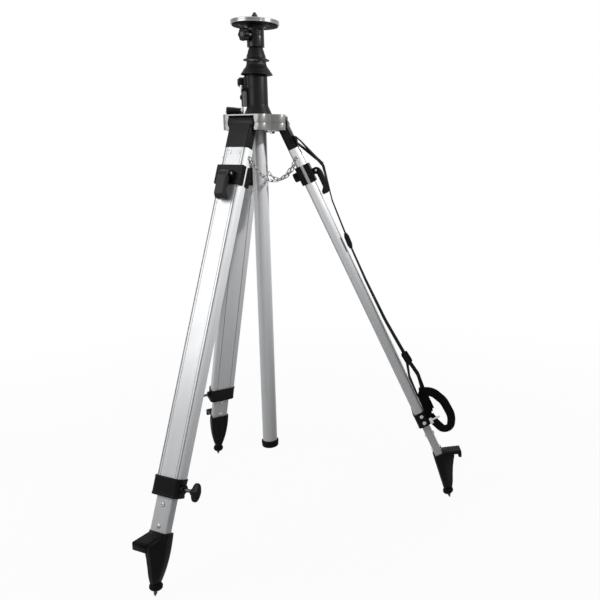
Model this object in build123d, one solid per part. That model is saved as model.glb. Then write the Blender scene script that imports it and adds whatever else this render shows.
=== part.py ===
from build123d import *
import math
import os

# Elevating survey tripod with its column down and its legs almost retracted.
# Frame: origin at the centre of the head plate's top face, +Z up, first leg along +X.
# Sizes are in millimetres and degrees. A drop is a depth below the plate's top face.
# Leg frame: origin on the hinge axis, X out of the leg's face, Y across it, Z up along it.
# A station is a distance down the leg from its hinge axis.

# Fits
RUN_GAP = 0.05
SLIDE_GAP = 0.3

# Head plate, stud and plate screws
PLATE_D = 118.0
PLATE_T = 10.0
PLATE_EDGE = 1.2
STUD_D = 15.875
STUD_H = 20.0
STUD_TIP = 3.0
STUD_SHANK_D = 18.0
STUD_FLANGE_D = 24.0
STUD_FLANGE_T = 4.0
PLATE_SCREW_COUNT = 3
PLATE_SCREW_PCD = 76.0
PLATE_SCREW_D = 5.0
PLATE_SCREW_HEAD_D = 9.0
PLATE_SCREW_HEAD_H = 2.5
PLATE_SCREW_GRIP = 6.0
PLATE_SCREW_AZIMUTH = 330.0

# Neck and its lock knob
NECK_FLANGE_D = 112.0
NECK_FLANGE_T = 3.0
NECK_D = 42.4
NECK_H = 50.0
SPIGOT_D = 26.0
SPIGOT_H = 40.0
KNOB_AZIMUTH = 225.0
KNOB_DROP = 36.0
KNOB_D = 32.0
KNOB_T = 15.0
KNOB_LOBES = 6
KNOB_SCALLOP_D = 11.0
KNOB_SCALLOP_DEPTH = 2.75
KNOB_SCREW_D = 8.0
KNOB_SCREW_GRIP = 12.0
KNOB_BOSS_D = 19.0
KNOB_BOSS_H = 6.0

# Top collar of the column
COLLAR_H = 31.5
COLLAR_TOP_D = 33.0
COLLAR_WAIST_D = 43.0
COLLAR_WAIST_DROP = 17.0
COLLAR_SKIRT_D = 64.0
COLLAR_SOCKET = 10.0
COLLAR_SLEEVE = 29.0
SKIRT_T = 1.8
SKIRT_LIP = 1.5
SKIRT_RISE = 9.0

# Column tube, rack and end cap
TUBE_D = 38.1
TUBE_WALL = 2.5
TUBE_L = 1007.0
RACK_W = 10.0
RACK_BACK = 10.0
RACK_TIP = 18.2
COLUMN_TRAVEL = 650.0
RACK_RUNOUT = 14.0
CAP_D = 45.0
CAP_H = 27.0
CAP_PLUG = 25.0
CAP_EDGE = 3.0

# Lock ring
LOCK_GAP = 1.5
LOCK_H = 33.0
LOCK_TOP_D = 45.0
LOCK_WAIST_D = 62.0
LOCK_WAIST_DROP = 20.0
LOCK_SKIRT_D = 78.0
LOCK_BORE_GAP = 0.4
LOCK_SKIRT_DEPTH = 6.0

# Column housing, gear case and bushings
HOUSING_D = 51.0
HOUSING_H = 73.7
HOUSING_SPIGOT_D = 46.0
HOUSING_SPIGOT_H = 13.3
HOUSING_BORE_GAP = 0.95
BASE_D = 68.6
BASE_H = 24.0
BASE_FLANGE_T = 3.0
BUSH_WALL = 2.2
BUSH_L = 17.0
CASE_LEFT = 33.0
CASE_RIGHT = 16.0
CASE_BACK = 40.0
CASE_ABOVE = 15.0
CASE_BELOW = 55.0
CASE_EDGE = 5.0

# Rack and pinion drive with its crank
GEAR_MODULE = 1.5
PINION_TEETH = 12
PRESSURE_ANGLE = 20.0
ADDENDUM = 1.1
DEDENDUM = 1.5
BACKLASH = 0.4
PINION_W = 8.0
GEAR_ROOM = 0.7
CRANK_DROP = 145.0
SHAFT_D = 12.0
SHAFT_END_GRIP = 8.0
BEARING_D = 22.0
BEARING_L = 18.0
BEARING_FLANGE_D = 28.0
BEARING_FLANGE_T = 4.0
ARM_STANDOFF = 2.0
ARM_T = 5.0
ARM_HUB_D = 22.0
ARM_END_D = 15.0
CRANK_R = 70.0
NUT_FLATS = 18.0
NUT_T = 6.0
GRIP_STANDOFF = 1.3
GRIP_L = 36.0
GRIP_ROOT_D = 12.0
GRIP_END_D = 18.0
GRIP_PIN_D = 6.0
GRIP_PIN_HEAD_D = 11.0
GRIP_PIN_HEAD_T = 2.5

# Spider
SPIDER_UPPER_H = 21.0
SPIDER_LOWER_H = 17.0
SPIDER_LUG_T = 24.7
SPIDER_LUG_ROUND = 16.0
SPIDER_BOLT_R = 57.0
SPIDER_BOLT_D = 8.0
SPIDER_BOLT_FLATS = 13.0
SPIDER_BOLT_HEAD_H = 6.0
SPIDER_BOLT_GRIP = 14.0
NOTCH_GAP = 1.0
SPIDER_LIP = 11.0

# Legs
LEG_COUNT = 3
LEG_STEP = 120.0
LEG_SPLAYS = (24.2, 20.4, 21.4)
HINGE_R = 59.0
BARREL_D = 32.0
BARREL_L = 74.0
TRUNNION_D = 18.0
TRUNNION_L = 13.0
LEG_W = 66.0
LEG_T = 27.0
LEG_ROUND = 6.0
LEG_TOP = 68.0
LEG_L = 818.0
LEG_WEB = 1.6
LEG_GROOVE_W = 2.0
LEG_GROOVE_DEPTH = 1.2
LEG_BEAD_W = 9.5
TOP_PLUG = 27.0
TOP_SCREW_DROP = 12.0
TOP_SCREW_PITCH = 26.0
LEG_SCREW_D = 5.0
LEG_SCREW_HEAD_D = 9.0
LEG_SCREW_HEAD_H = 2.4

# Inner leg
INNER_W = 46.4
INNER_T = 20.4
INNER_WALL = 1.8
INNER_ROUND = 4.0
INNER_TOP_GAP = 11.6
STOP_SCREW_DROP = 10.6
STOP_SCREW_PITCH = 46.0
STOP_SCREW_HEAD_D = 10.0
STOP_SCREW_HEAD_H = 2.5

# Quick clamp near the top of the leg
JAW_DROP = 46.0
JAW_H = 48.0
JAW_T = 5.0
JAW_STRIP = 8.0
EAR_T = 4.0
EAR_R = 8.0
LEVER_W = 26.0
LEVER_DROP = 25.0
LEVER_STANDOFF = 9.0
LEVER_PIN_D = 6.0
LEVER_HUB_D = 15.0
LEVER_L = 64.0
LEVER_SETBACK = 1.5
LEVER_T = 15.0
LEVER_HOOK = 8.0
LEVER_HOOK_H = 9.0
ADJUSTER_DROP = 22.0
ADJUSTER_D = 24.0
ADJUSTER_T = 14.0
ADJUSTER_SCREW_D = 8.0
ADJUSTER_TIP_GAP = 1.0

# Band clamp at the bottom of the leg
BAND_LIP = 2.0
BAND_H = 42.0
BAND_T = 4.5
BAND_ROUND = 7.0
BAND_BOSS_D = 20.0
BAND_BOSS_H = 6.0
BAND_SCREW_PITCH = 20.0
BAND_SCREW_HEAD_D = 10.0
BAND_SCREW_HEAD_H = 2.6
BAND_SCREW_X = 2.0
THUMB_D = 8.0
THUMB_HUB_D = 18.0
THUMB_NECK = 20.0
THUMB_HUB_T = 22.0
THUMB_WING_L = 46.0
THUMB_WING_T = 10.0
THUMB_WING_ROUND = 9.0
THUMB_TIP_GAP = 1.2

# Foot
INNER_SHOWN = 69.6
FOOT_BEND = 10.0
FOOT_W = 54.0
FOOT_T = 29.0
FOOT_L = 112.0
FOOT_END_W = 14.0
FOOT_END_T = 18.0
FOOT_END_ROUND = 5.0
FOOT_SOCKET = 12.0
FOOT_WEB_REACH = 48.0
STEP_TILT = 20.0
STEP_REACH = 64.0
STEP_W = 40.0
STEP_T = 10.0
STEP_RISE = 4.0
STEP_LIP = 9.0
STEP_LIP_H = 20.0
BALL_D = 26.0
BALL_DROP = 10.0
SPIKE_D = 8.0
SPIKE_ROOT = 14.0
SPIKE_L = 32.0
SPIKE_POINT = 10.0

# Spread chains, one between each pair of neighbouring legs
STAPLE_DROP = 22.0
STAPLE_R = 5.0
STAPLE_LEAN = 45.0
CHAIN_WIRE_D = 2.4
LINK_LENGTH = 12.5
LINK_WIDTH = 4.4
LINK_COUNT = 15
LINK_PLAY = 0.5
STAPLE_PLAY = 0.6

# Leg-binding strap on the first leg, on the side away from its thumbscrew
STRAP_W = 16.0
STRAP_T = 2.0
STRAP_Y = -26.5
STRAP_START = 38.0
STRAP_LEAVES = 62.0
STRAP_LIFT = 2.0
STRAP_HUMP = 27.5
STRAP_HUMP_DROP = 67.0
STRAP_EASE = 11.5
STRAP_EASE_DROP = 68.0
STRAP_BOW = 11.0
STRAP_BOW_DROP = 238.0
STRAP_BOW_RISE = 168.0
STRAP_BEND = 40.0
LOOP_RISE = 88.0
LOOP_SHOULDER_RISE = 62.0
LOOP_ELBOW_DROP = 30.0
LOOP_DROP = 48.0
LOOP_REACH = 85.0
LOOP_BEND = 11.0
CLIP_L = 18.0
SLIDER_DROP = 183.0
BUCKLE_RISE = 204.0
BUCKLE_L = 26.0
BUCKLE_T = 7.0
BUCKLE_RIM = 3.0
BUCKLE_GAP = 0.3
ANCHOR_L = 14.0
ANCHOR_T = 3.0

# Drops down the column, from one piece to the next
neck_bottom = PLATE_T + NECK_FLANGE_T + NECK_H
collar_bottom = neck_bottom + COLLAR_H
lock_top = collar_bottom + LOCK_GAP
lock_bottom = lock_top + LOCK_H
housing_shoulder = lock_bottom + SLIDE_GAP
base_top = housing_shoulder + HOUSING_H
spider_top = base_top + BASE_H
hinge_drop = spider_top + SPIDER_UPPER_H
spider_bottom = hinge_drop + SPIDER_LOWER_H
tube_top = collar_bottom - SKIRT_RISE - COLLAR_SOCKET
tube_bottom = tube_top + TUBE_L
spigot_top = housing_shoulder - HOUSING_SPIGOT_H

# Radii and gear sizes that several pieces share
tube_r = TUBE_D / 2
tube_bore_r = tube_r - TUBE_WALL
bush_bore_r = tube_r + RUN_GAP
bush_r = bush_bore_r + BUSH_WALL
housing_bore_r = tube_r + HOUSING_BORE_GAP
pitch_r = GEAR_MODULE * PINION_TEETH / 2
tooth_pitch = math.pi * GEAR_MODULE
pinion_tip_r = pitch_r + ADDENDUM
rack_pitch_y = RACK_TIP - ADDENDUM
pinion_y = rack_pitch_y + pitch_r
tooth_half = (tooth_pitch / 2 - BACKLASH / 2) / 2
arm_face = CASE_LEFT + BEARING_FLANGE_T + ARM_STANDOFF
arm_out = arm_face + ARM_T
nut_out = arm_out + NUT_T
grip_in = arm_out + GRIP_STANDOFF
grip_out = grip_in + GRIP_L

# Leg stations and widths that several pieces share
leg_end = LEG_TOP + LEG_L
top_screw_station = LEG_TOP + TOP_SCREW_DROP
staple_station = LEG_TOP + STAPLE_DROP
jaw_station = LEG_TOP + JAW_DROP
jaw_end = jaw_station + JAW_H
band_end = leg_end + BAND_LIP
band_station = band_end - BAND_H
inner_top = LEG_TOP + TOP_PLUG + INNER_TOP_GAP
stop_screw_station = band_end + STOP_SCREW_DROP
foot_station = band_end + INNER_SHOWN
inner_bottom = foot_station + FOOT_SOCKET
barrel_half = BARREL_L / 2
lug_in = barrel_half + SLIDE_GAP
lug_out = lug_in + SPIDER_LUG_T
lug_reach = HINGE_R + SPIDER_LIP
cavity_w = INNER_W + 2 * SLIDE_GAP
cavity_t = INNER_T + 2 * SLIDE_GAP
jaw_face = LEG_T / 2 + JAW_T
pivot_x = jaw_face + LEVER_STANDOFF
pivot_station = jaw_station + LEVER_DROP
adjuster_station = jaw_station + ADJUSTER_DROP
band_side = LEG_W / 2 + BAND_T
band_face = LEG_T / 2 + BAND_T
band_boss_end = band_side + BAND_BOSS_H
thumb_station = band_station + BAND_H / 2
spike_reach = FOOT_L + SPIKE_L
link_pitch = LINK_LENGTH - LINK_PLAY
link_margin = (LINK_LENGTH - CHAIN_WIRE_D) / 2 - STAPLE_PLAY
chain_length = 2 * link_margin + (LINK_COUNT - 1) * link_pitch
azimuths = [LEG_STEP * number for number in range(LEG_COUNT)]


def block(x, y, z):
    """Box between three (low, high) pairs."""
    spans = (x, y, z)
    size = [high - low for low, high in spans]
    centre = [(low + high) / 2 for low, high in spans]
    return Pos(*centre) * Box(*size)


def stations(start, end):
    """Height span of a leg piece between two stations."""
    return (-end, -start)


def rod(radius, start, end):
    """Round bar from one point to another."""
    run = Vector(*end) - Vector(*start)
    return Solid.make_cylinder(radius, run.length, Plane(origin=start, z_dir=run))


def turned(points):
    """Body turned about Z from (radius, height) points."""
    outline = Polyline(*[(radius, 0, height) for radius, height in points], close=True)
    return revolve(make_face(outline), Axis.Z)


def across(points, width, middle=0.0):
    """Plate with a profile of (x, z) points, as wide as given along Y."""
    outline = Polyline(*[(x, middle, z) for x, z in points], close=True)
    return extrude(make_face(outline), amount=width / 2, dir=(0, 1, 0), both=True)


def hexagon(flats, start, end):
    """Hexagonal bar from one point to another."""
    run = Vector(*end) - Vector(*start)
    plane = Plane(origin=start, z_dir=run)
    return extrude(plane * RegularPolygon(flats / 2, 6, major_radius=False), amount=run.length)


def group(pieces):
    """One compound of separate solids."""
    solids = [solid for piece in pieces for solid in piece.solids()]
    return Compound(children=solids)


def leg_frame(number):
    """Place of the leg frame for one leg, spread as it stands at rest."""
    return Rot(0, 0, azimuths[number]) * Pos(HINGE_R, 0, -hinge_drop) * Rot(0, -LEG_SPLAYS[number], 0)


def spike_drop(number):
    """Drop of one leg's spike with its inner leg at its drawn station."""
    splay = math.radians(LEG_SPLAYS[number])
    bend = math.radians(FOOT_BEND)
    inward = spike_reach * math.sin(bend)
    station = foot_station + spike_reach * math.cos(bend)
    return hinge_drop + inward * math.sin(splay) + station * math.cos(splay)


def extension(number):
    """How far one inner leg is drawn out, so that its spike is level with the lowest one."""
    floor_drop = max(spike_drop(other) for other in range(LEG_COUNT))
    return (floor_drop - spike_drop(number)) / math.cos(math.radians(LEG_SPLAYS[number]))


# Column and head plate
def plate_screw_places():
    """Azimuth turns of the plate screws."""
    step = 360.0 / PLATE_SCREW_COUNT
    return [Rot(0, 0, PLATE_SCREW_AZIMUTH + step * number) for number in range(PLATE_SCREW_COUNT)]


def head_plate():
    """Round plate with a bore for the stud and a pocket for the stud's flange."""
    plate = Pos(0, 0, -PLATE_T / 2) * Cylinder(PLATE_D / 2, PLATE_T)
    plate = fillet(plate.edges().filter_by(GeomType.CIRCLE), PLATE_EDGE)
    plate -= rod(STUD_SHANK_D / 2 + RUN_GAP, (0, 0, -PLATE_T), (0, 0, 0))
    plate -= rod(STUD_FLANGE_D / 2 + RUN_GAP, (0, 0, -PLATE_T), (0, 0, STUD_FLANGE_T - PLATE_T))
    for turn in plate_screw_places():
        top = PLATE_SCREW_GRIP - PLATE_T
        centre = PLATE_SCREW_PCD / 2
        plate -= turn * rod(PLATE_SCREW_D / 2 + RUN_GAP, (centre, 0, -PLATE_T), (centre, 0, top))
    return plate


def head_stud():
    """Flanged stud that holds the instrument, with a shank in the plate and a tapered tip."""
    radius = STUD_D / 2
    shank = STUD_SHANK_D / 2
    flange = STUD_FLANGE_D / 2
    return turned([
        (0, -PLATE_T), (flange, -PLATE_T), (flange, STUD_FLANGE_T - PLATE_T),
        (shank, STUD_FLANGE_T - PLATE_T), (shank, 0), (radius, 0), (radius, STUD_H - STUD_TIP),
        (radius - STUD_TIP, STUD_H), (0, STUD_H),
    ])


def plate_screws():
    """Screws that hold the neck's flange under the plate."""
    flange_low = -PLATE_T - NECK_FLANGE_T
    centre = PLATE_SCREW_PCD / 2
    screws = []
    for turn in plate_screw_places():
        seat = (centre, 0, flange_low)
        shank = rod(PLATE_SCREW_D / 2, seat, (centre, 0, PLATE_SCREW_GRIP - PLATE_T))
        head = rod(PLATE_SCREW_HEAD_D / 2, (centre, 0, flange_low - PLATE_SCREW_HEAD_H), seat)
        screws.append(turn * (shank + head))
    return group(screws)


def neck():
    """Flanged neck under the plate, with a boss for its knob and a spigot for the collar."""
    flange_low = PLATE_T + NECK_FLANGE_T
    body = turned([
        (0, -PLATE_T), (NECK_FLANGE_D / 2, -PLATE_T), (NECK_FLANGE_D / 2, -flange_low),
        (NECK_D / 2, -flange_low), (NECK_D / 2, -neck_bottom), (SPIGOT_D / 2, -neck_bottom),
        (SPIGOT_D / 2, -neck_bottom - SPIGOT_H), (0, -neck_bottom - SPIGOT_H),
    ])
    turn = Rot(0, 0, KNOB_AZIMUTH)
    boss_out = NECK_D / 2 + KNOB_BOSS_H
    body += turn * rod(KNOB_BOSS_D / 2, (0, 0, -KNOB_DROP), (boss_out, 0, -KNOB_DROP))
    hole_in = NECK_D / 2 - KNOB_SCREW_GRIP
    body -= turn * rod(KNOB_SCREW_D / 2 + RUN_GAP, (hole_in, 0, -KNOB_DROP), (boss_out, 0, -KNOB_DROP))
    centre = PLATE_SCREW_PCD / 2
    for place in plate_screw_places():
        body -= place * rod(PLATE_SCREW_D / 2 + RUN_GAP, (centre, 0, -flange_low), (centre, 0, -PLATE_T))
    return body


def lobed_disc():
    """Outline of the neck knob, with round scallops between its lobes."""
    outline = Circle(KNOB_D / 2)
    scallop_r = KNOB_SCALLOP_D / 2
    for number in range(KNOB_LOBES):
        turn = Rot(0, 0, 360.0 * number / KNOB_LOBES)
        outline -= turn * Pos(KNOB_D / 2 + scallop_r - KNOB_SCALLOP_DEPTH, 0) * Circle(scallop_r)
    return outline


def neck_knob():
    """Lobed knob with its screw, pointing out of the neck's boss."""
    seat = NECK_D / 2 + KNOB_BOSS_H + SLIDE_GAP
    tip = NECK_D / 2 - KNOB_SCREW_GRIP + SLIDE_GAP
    face = Plane(origin=(seat, 0, -KNOB_DROP), z_dir=(1, 0, 0))
    knob = extrude(face * lobed_disc(), amount=KNOB_T)
    knob += rod(KNOB_SCREW_D / 2, (tip, 0, -KNOB_DROP), (seat, 0, -KNOB_DROP))
    return Rot(0, 0, KNOB_AZIMUTH) * knob


def top_collar():
    """Collar on the tube's top end, with a sleeve inside the tube and a rain skirt."""
    spigot = SPIGOT_D / 2 + RUN_GAP
    sleeve = tube_bore_r - RUN_GAP
    socket = tube_r + RUN_GAP
    waist = neck_bottom + COLLAR_WAIST_DROP
    flare = collar_bottom - SKIRT_RISE
    skirt = COLLAR_SKIRT_D / 2
    return turned([
        (spigot, -neck_bottom), (COLLAR_TOP_D / 2, -neck_bottom), (COLLAR_WAIST_D / 2, -waist),
        (COLLAR_WAIST_D / 2 + SKIRT_T, -flare), (skirt, -collar_bottom + SKIRT_LIP),
        (skirt, -collar_bottom), (skirt - SKIRT_T, -collar_bottom),
        (COLLAR_WAIST_D / 2, -flare), (socket, -flare), (socket, -tube_top), (sleeve, -tube_top),
        (sleeve, -tube_top - COLLAR_SLEEVE), (spigot, -tube_top - COLLAR_SLEEVE),
    ])


def rack_span():
    """Drops of the rack's top and bottom ends, a whole number of teeth apart."""
    above = math.ceil((pinion_tip_r + GEAR_ROOM) / tooth_pitch)
    below = math.ceil((COLUMN_TRAVEL + RACK_RUNOUT) / tooth_pitch)
    return CRANK_DROP - above * tooth_pitch, CRANK_DROP + below * tooth_pitch


def column_tube():
    """Tube with a slot down its back for the rack."""
    tube = turned([
        (tube_bore_r, -tube_top), (tube_r, -tube_top), (tube_r, -tube_bottom), (tube_bore_r, -tube_bottom),
    ])
    top, bottom = rack_span()
    return tube - block((-RACK_W / 2, RACK_W / 2), (RACK_BACK, TUBE_D), (-bottom, -top))


def rack():
    """Toothed bar in the tube's slot; a gap between teeth lies level with the pinion."""
    top, bottom = rack_span()
    slope = math.tan(math.radians(PRESSURE_ANGLE))
    tip_half = tooth_half - ADDENDUM * slope
    root_half = tooth_half + DEDENDUM * slope
    root_y = rack_pitch_y - DEDENDUM
    points = [(0, RACK_BACK, -bottom), (0, root_y, -bottom)]
    for number in range(round((bottom - top) / tooth_pitch)):
        middle = -bottom + (number + 0.5) * tooth_pitch
        points.append((0, root_y, middle - root_half))
        points.append((0, RACK_TIP, middle - tip_half))
        points.append((0, RACK_TIP, middle + tip_half))
        points.append((0, root_y, middle + root_half))
    points += [(0, root_y, -top), (0, RACK_BACK, -top)]
    face = make_face(Polyline(*points, close=True))
    return extrude(face, amount=RACK_W / 2, dir=(1, 0, 0), both=True)


def end_cap():
    """Cap with a plug in the tube's lower end."""
    plug = tube_bore_r - RUN_GAP
    radius = CAP_D / 2
    low = tube_bottom + CAP_H
    return turned([
        (0, CAP_PLUG - tube_bottom), (plug, CAP_PLUG - tube_bottom), (plug, -tube_bottom),
        (radius, -tube_bottom), (radius, CAP_EDGE - low), (radius - CAP_EDGE, -low), (0, -low),
    ])


# Lock ring, housing and drive
def lock_ring():
    """Turning ring that locks the tube, running on the housing's spigot."""
    bore = tube_r + LOCK_BORE_GAP
    seat = HOUSING_SPIGOT_D / 2 + RUN_GAP
    shoulder = spigot_top - SLIDE_GAP
    waist = lock_top + LOCK_WAIST_DROP
    skirt = LOCK_SKIRT_D / 2
    hollow = lock_bottom - LOCK_SKIRT_DEPTH
    hollow_r = (seat + LOCK_WAIST_D / 2) / 2
    return turned([
        (bore, -lock_top), (LOCK_TOP_D / 2, -lock_top), (LOCK_WAIST_D / 2, -waist),
        (skirt, -lock_bottom + SKIRT_LIP), (skirt, -lock_bottom), (skirt - SKIRT_T, -lock_bottom),
        (hollow_r, -hollow), (seat, -hollow), (seat, -shoulder), (bore, -shoulder),
    ])


def column_housing():
    """Housing round the tube with a flared base, a gear case behind and the lock ring's spigot."""
    body_r = HOUSING_D / 2
    body = turned([
        (0, -spigot_top), (HOUSING_SPIGOT_D / 2, -spigot_top),
        (HOUSING_SPIGOT_D / 2, -housing_shoulder), (body_r, -housing_shoulder), (body_r, -base_top),
        (BASE_D / 2, BASE_FLANGE_T - spider_top), (BASE_D / 2, -spider_top), (0, -spider_top),
    ])
    heights = (-CRANK_DROP - CASE_BELOW, -CRANK_DROP + CASE_ABOVE)
    case = block((-CASE_LEFT, CASE_RIGHT), (0, CASE_BACK), heights)
    body += fillet(case.edges().filter_by(Axis.X), CASE_EDGE)
    body -= rod(housing_bore_r, (0, 0, -spider_top), (0, 0, -spigot_top))
    body -= rod(bush_r + RUN_GAP, (0, 0, -spigot_top - BUSH_L), (0, 0, -spigot_top))
    room = PINION_W / 2 + GEAR_ROOM
    bearing_in = CASE_LEFT - BEARING_L
    for radius, start, end in (
        (pinion_tip_r + GEAR_ROOM, -bearing_in, room),
        (SHAFT_D / 2 + RUN_GAP, room, room + SHAFT_END_GRIP),
        (BEARING_D / 2 + RUN_GAP, -CASE_LEFT, -bearing_in),
    ):
        body -= rod(radius, (start, pinion_y, -CRANK_DROP), (end, pinion_y, -CRANK_DROP))
    return body


def column_bushings():
    """Two bushings that guide the tube, one in the housing and one in the lower spider half."""
    bushes = []
    for top in (spigot_top, spider_bottom - BUSH_L):
        bushes.append(turned([
            (bush_bore_r, -top), (bush_r, -top), (bush_r, -top - BUSH_L), (bush_bore_r, -top - BUSH_L),
        ]))
    return group(bushes)


def along_crank(piece_radius, start, end):
    """Round bar on the crank's axis between two distances out to the left."""
    return rod(piece_radius, (-start, pinion_y, -CRANK_DROP), (-end, pinion_y, -CRANK_DROP))


def crank_bearing():
    """Flanged bearing pressed into the gear case's left side."""
    start = CASE_LEFT - BEARING_L
    body = along_crank(BEARING_D / 2, start, CASE_LEFT)
    body += along_crank(BEARING_FLANGE_D / 2, CASE_LEFT, CASE_LEFT + BEARING_FLANGE_T)
    return body - along_crank(SHAFT_D / 2 + RUN_GAP, start, CASE_LEFT + BEARING_FLANGE_T)


def involute_half_angle(radius):
    """Half angle of a pinion tooth at a radius; straight and radial inside the base circle."""
    base = pitch_r * math.cos(math.radians(PRESSURE_ANGLE))
    pitch_roll = math.radians(PRESSURE_ANGLE)
    roll = math.acos(min(1.0, base / radius))
    return tooth_half / pitch_r + math.tan(pitch_roll) - pitch_roll - (math.tan(roll) - roll)


def pinion_outline():
    """Pinion outline as (y, z) points about its axis, with one tooth pointing at the rack."""
    root = pitch_r - DEDENDUM
    steps = 4
    flank = [root + (pinion_tip_r - root) * step / steps for step in range(steps + 1)]
    points = []
    for number in range(PINION_TEETH):
        middle = math.pi + 2 * math.pi * number / PINION_TEETH
        rising = [(radius, middle - involute_half_angle(radius)) for radius in flank]
        falling = [(radius, middle + involute_half_angle(radius)) for radius in reversed(flank)]
        points += [(radius * math.cos(turn), radius * math.sin(turn)) for radius, turn in rising + falling]
    return points


def pinion_shaft():
    """Shaft with its pinion, from the case's right side out through the crank arm."""
    points = [(0, pinion_y + y, z - CRANK_DROP) for y, z in pinion_outline()]
    pinion = extrude(make_face(Polyline(*points, close=True)), amount=PINION_W / 2, dir=(1, 0, 0), both=True)
    right_end = PINION_W / 2 + GEAR_ROOM + SHAFT_END_GRIP - SLIDE_GAP
    return pinion + along_crank(SHAFT_D / 2, -right_end, nut_out)


def crank_arm():
    """Flat arm from the shaft down to the grip's pin."""
    hub = Circle(ARM_HUB_D / 2)
    end = Pos(0, -CRANK_R) * Circle(ARM_END_D / 2)
    outline = make_hull((hub + end).edges())
    outline -= Circle(SHAFT_D / 2 + RUN_GAP)
    outline -= Pos(0, -CRANK_R) * Circle(GRIP_PIN_D / 2 + RUN_GAP)
    face = Plane(origin=(-arm_face, pinion_y, -CRANK_DROP), x_dir=(0, -1, 0), z_dir=(-1, 0, 0))
    return extrude(face * outline, amount=ARM_T)


def crank_hardware():
    """Nut on the shaft's end, and the headed pin that the grip turns on."""
    nut = hexagon(NUT_FLATS, (-arm_out, pinion_y, -CRANK_DROP), (-nut_out, pinion_y, -CRANK_DROP))
    nut -= along_crank(SHAFT_D / 2 + RUN_GAP, arm_out, nut_out)
    level = -CRANK_DROP - CRANK_R
    head_in = grip_out + SLIDE_GAP
    pin = rod(GRIP_PIN_D / 2, (-arm_face, pinion_y, level), (-head_in, pinion_y, level))
    head_out = head_in + GRIP_PIN_HEAD_T
    pin += rod(GRIP_PIN_HEAD_D / 2, (-head_in, pinion_y, level), (-head_out, pinion_y, level))
    return group([nut, pin])


def crank_grip():
    """Tapered grip that turns on its pin."""
    bore = GRIP_PIN_D / 2 + RUN_GAP
    grip = turned([(bore, 0), (GRIP_ROOT_D / 2, 0), (GRIP_END_D / 2, GRIP_L), (bore, GRIP_L)])
    return Pos(-grip_in, pinion_y, -CRANK_DROP - CRANK_R) * Rot(0, -90, 0) * grip


# Spider
def spider_plan(low, high):
    """Body of one spider half: two lugs beside each leg's barrel, joined round the column."""
    body = Part()
    for azimuth in azimuths:
        body += Rot(0, 0, azimuth) * block((0, lug_reach), (-lug_out, lug_out), (low, high))
    notch_in = HINGE_R - BARREL_D / 2 - NOTCH_GAP
    notch_top = BARREL_D / 2 + NOTCH_GAP - hinge_drop
    for azimuth in azimuths:
        notch = block((notch_in, 2 * lug_reach), (-lug_in, lug_in), (low, min(high, notch_top)))
        body -= Rot(0, 0, azimuth) * notch
    corner = math.hypot(lug_reach, lug_out) - RUN_GAP
    corners = [
        edge for edge in body.edges().filter_by(Axis.Z)
        if math.hypot(edge.center().X, edge.center().Y) > corner
    ]
    return fillet(corners, SPIDER_LUG_ROUND)


def trunnion_holes():
    """Bores for the six trunnions, at the split between the spider halves."""
    reach = barrel_half + TRUNNION_L + SLIDE_GAP
    radius = TRUNNION_D / 2 + RUN_GAP
    return [
        Rot(0, 0, azimuth) * rod(radius, (HINGE_R, -reach, -hinge_drop), (HINGE_R, reach, -hinge_drop))
        for azimuth in azimuths
    ]


def bolt_turns():
    """Azimuth turns of the spider's bolts, half way between the legs."""
    return [Rot(0, 0, azimuth + LEG_STEP / 2) for azimuth in azimuths]


def spider_upper():
    """Upper half, which carries the housing."""
    body = spider_plan(-hinge_drop, -spider_top)
    body -= rod(bush_r + RUN_GAP, (0, 0, -hinge_drop), (0, 0, -spider_top))
    for hole in trunnion_holes():
        body -= hole
    for turn in bolt_turns():
        top = SPIDER_BOLT_GRIP - hinge_drop
        foot = (SPIDER_BOLT_R, 0, -hinge_drop)
        body -= turn * rod(SPIDER_BOLT_D / 2 + RUN_GAP, foot, (SPIDER_BOLT_R, 0, top))
    return body


def spider_lower():
    """Lower half, which holds the lower bushing and takes the bolts from below."""
    body = spider_plan(-spider_bottom, -hinge_drop)
    body += rod(bush_r + 2 * BUSH_WALL, (0, 0, -spider_bottom), (0, 0, -hinge_drop))
    body -= rod(bush_r + RUN_GAP, (0, 0, -spider_bottom), (0, 0, -hinge_drop))
    for hole in trunnion_holes():
        body -= hole
    for turn in bolt_turns():
        foot = (SPIDER_BOLT_R, 0, -spider_bottom)
        body -= turn * rod(SPIDER_BOLT_D / 2 + RUN_GAP, foot, (SPIDER_BOLT_R, 0, -hinge_drop))
    return body


def spider_bolts():
    """Bolts that clamp the halves on the trunnions."""
    bolts = []
    for turn in bolt_turns():
        seat = (SPIDER_BOLT_R, 0, -spider_bottom)
        head = hexagon(SPIDER_BOLT_FLATS, (SPIDER_BOLT_R, 0, -spider_bottom - SPIDER_BOLT_HEAD_H), seat)
        shank = rod(SPIDER_BOLT_D / 2, seat, (SPIDER_BOLT_R, 0, SPIDER_BOLT_GRIP - hinge_drop))
        bolts.append(turn * (head + shank))
    return group(bolts)


# Outer leg and what is fixed to it
def leg_prism(margin, start, end):
    """Solid of the outer leg's rounded outline, grown by a margin, between two stations."""
    outline = RectangleRounded(LEG_T + 2 * margin, LEG_W + 2 * margin, LEG_ROUND + margin)
    return extrude(Pos(0, 0, -end) * outline, amount=end - start)


def inner_prism(margin, start, end):
    """Solid of the inner leg's rounded outline, grown by a margin, between two stations."""
    outline = RectangleRounded(INNER_T + 2 * margin, INNER_W + 2 * margin, INNER_ROUND + margin)
    return extrude(Pos(0, 0, -end) * outline, amount=end - start)


def top_screw_ys():
    """Places across the leg of the screws that hold the leg's top casting."""
    return (-TOP_SCREW_PITCH / 2, TOP_SCREW_PITCH / 2)


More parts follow.
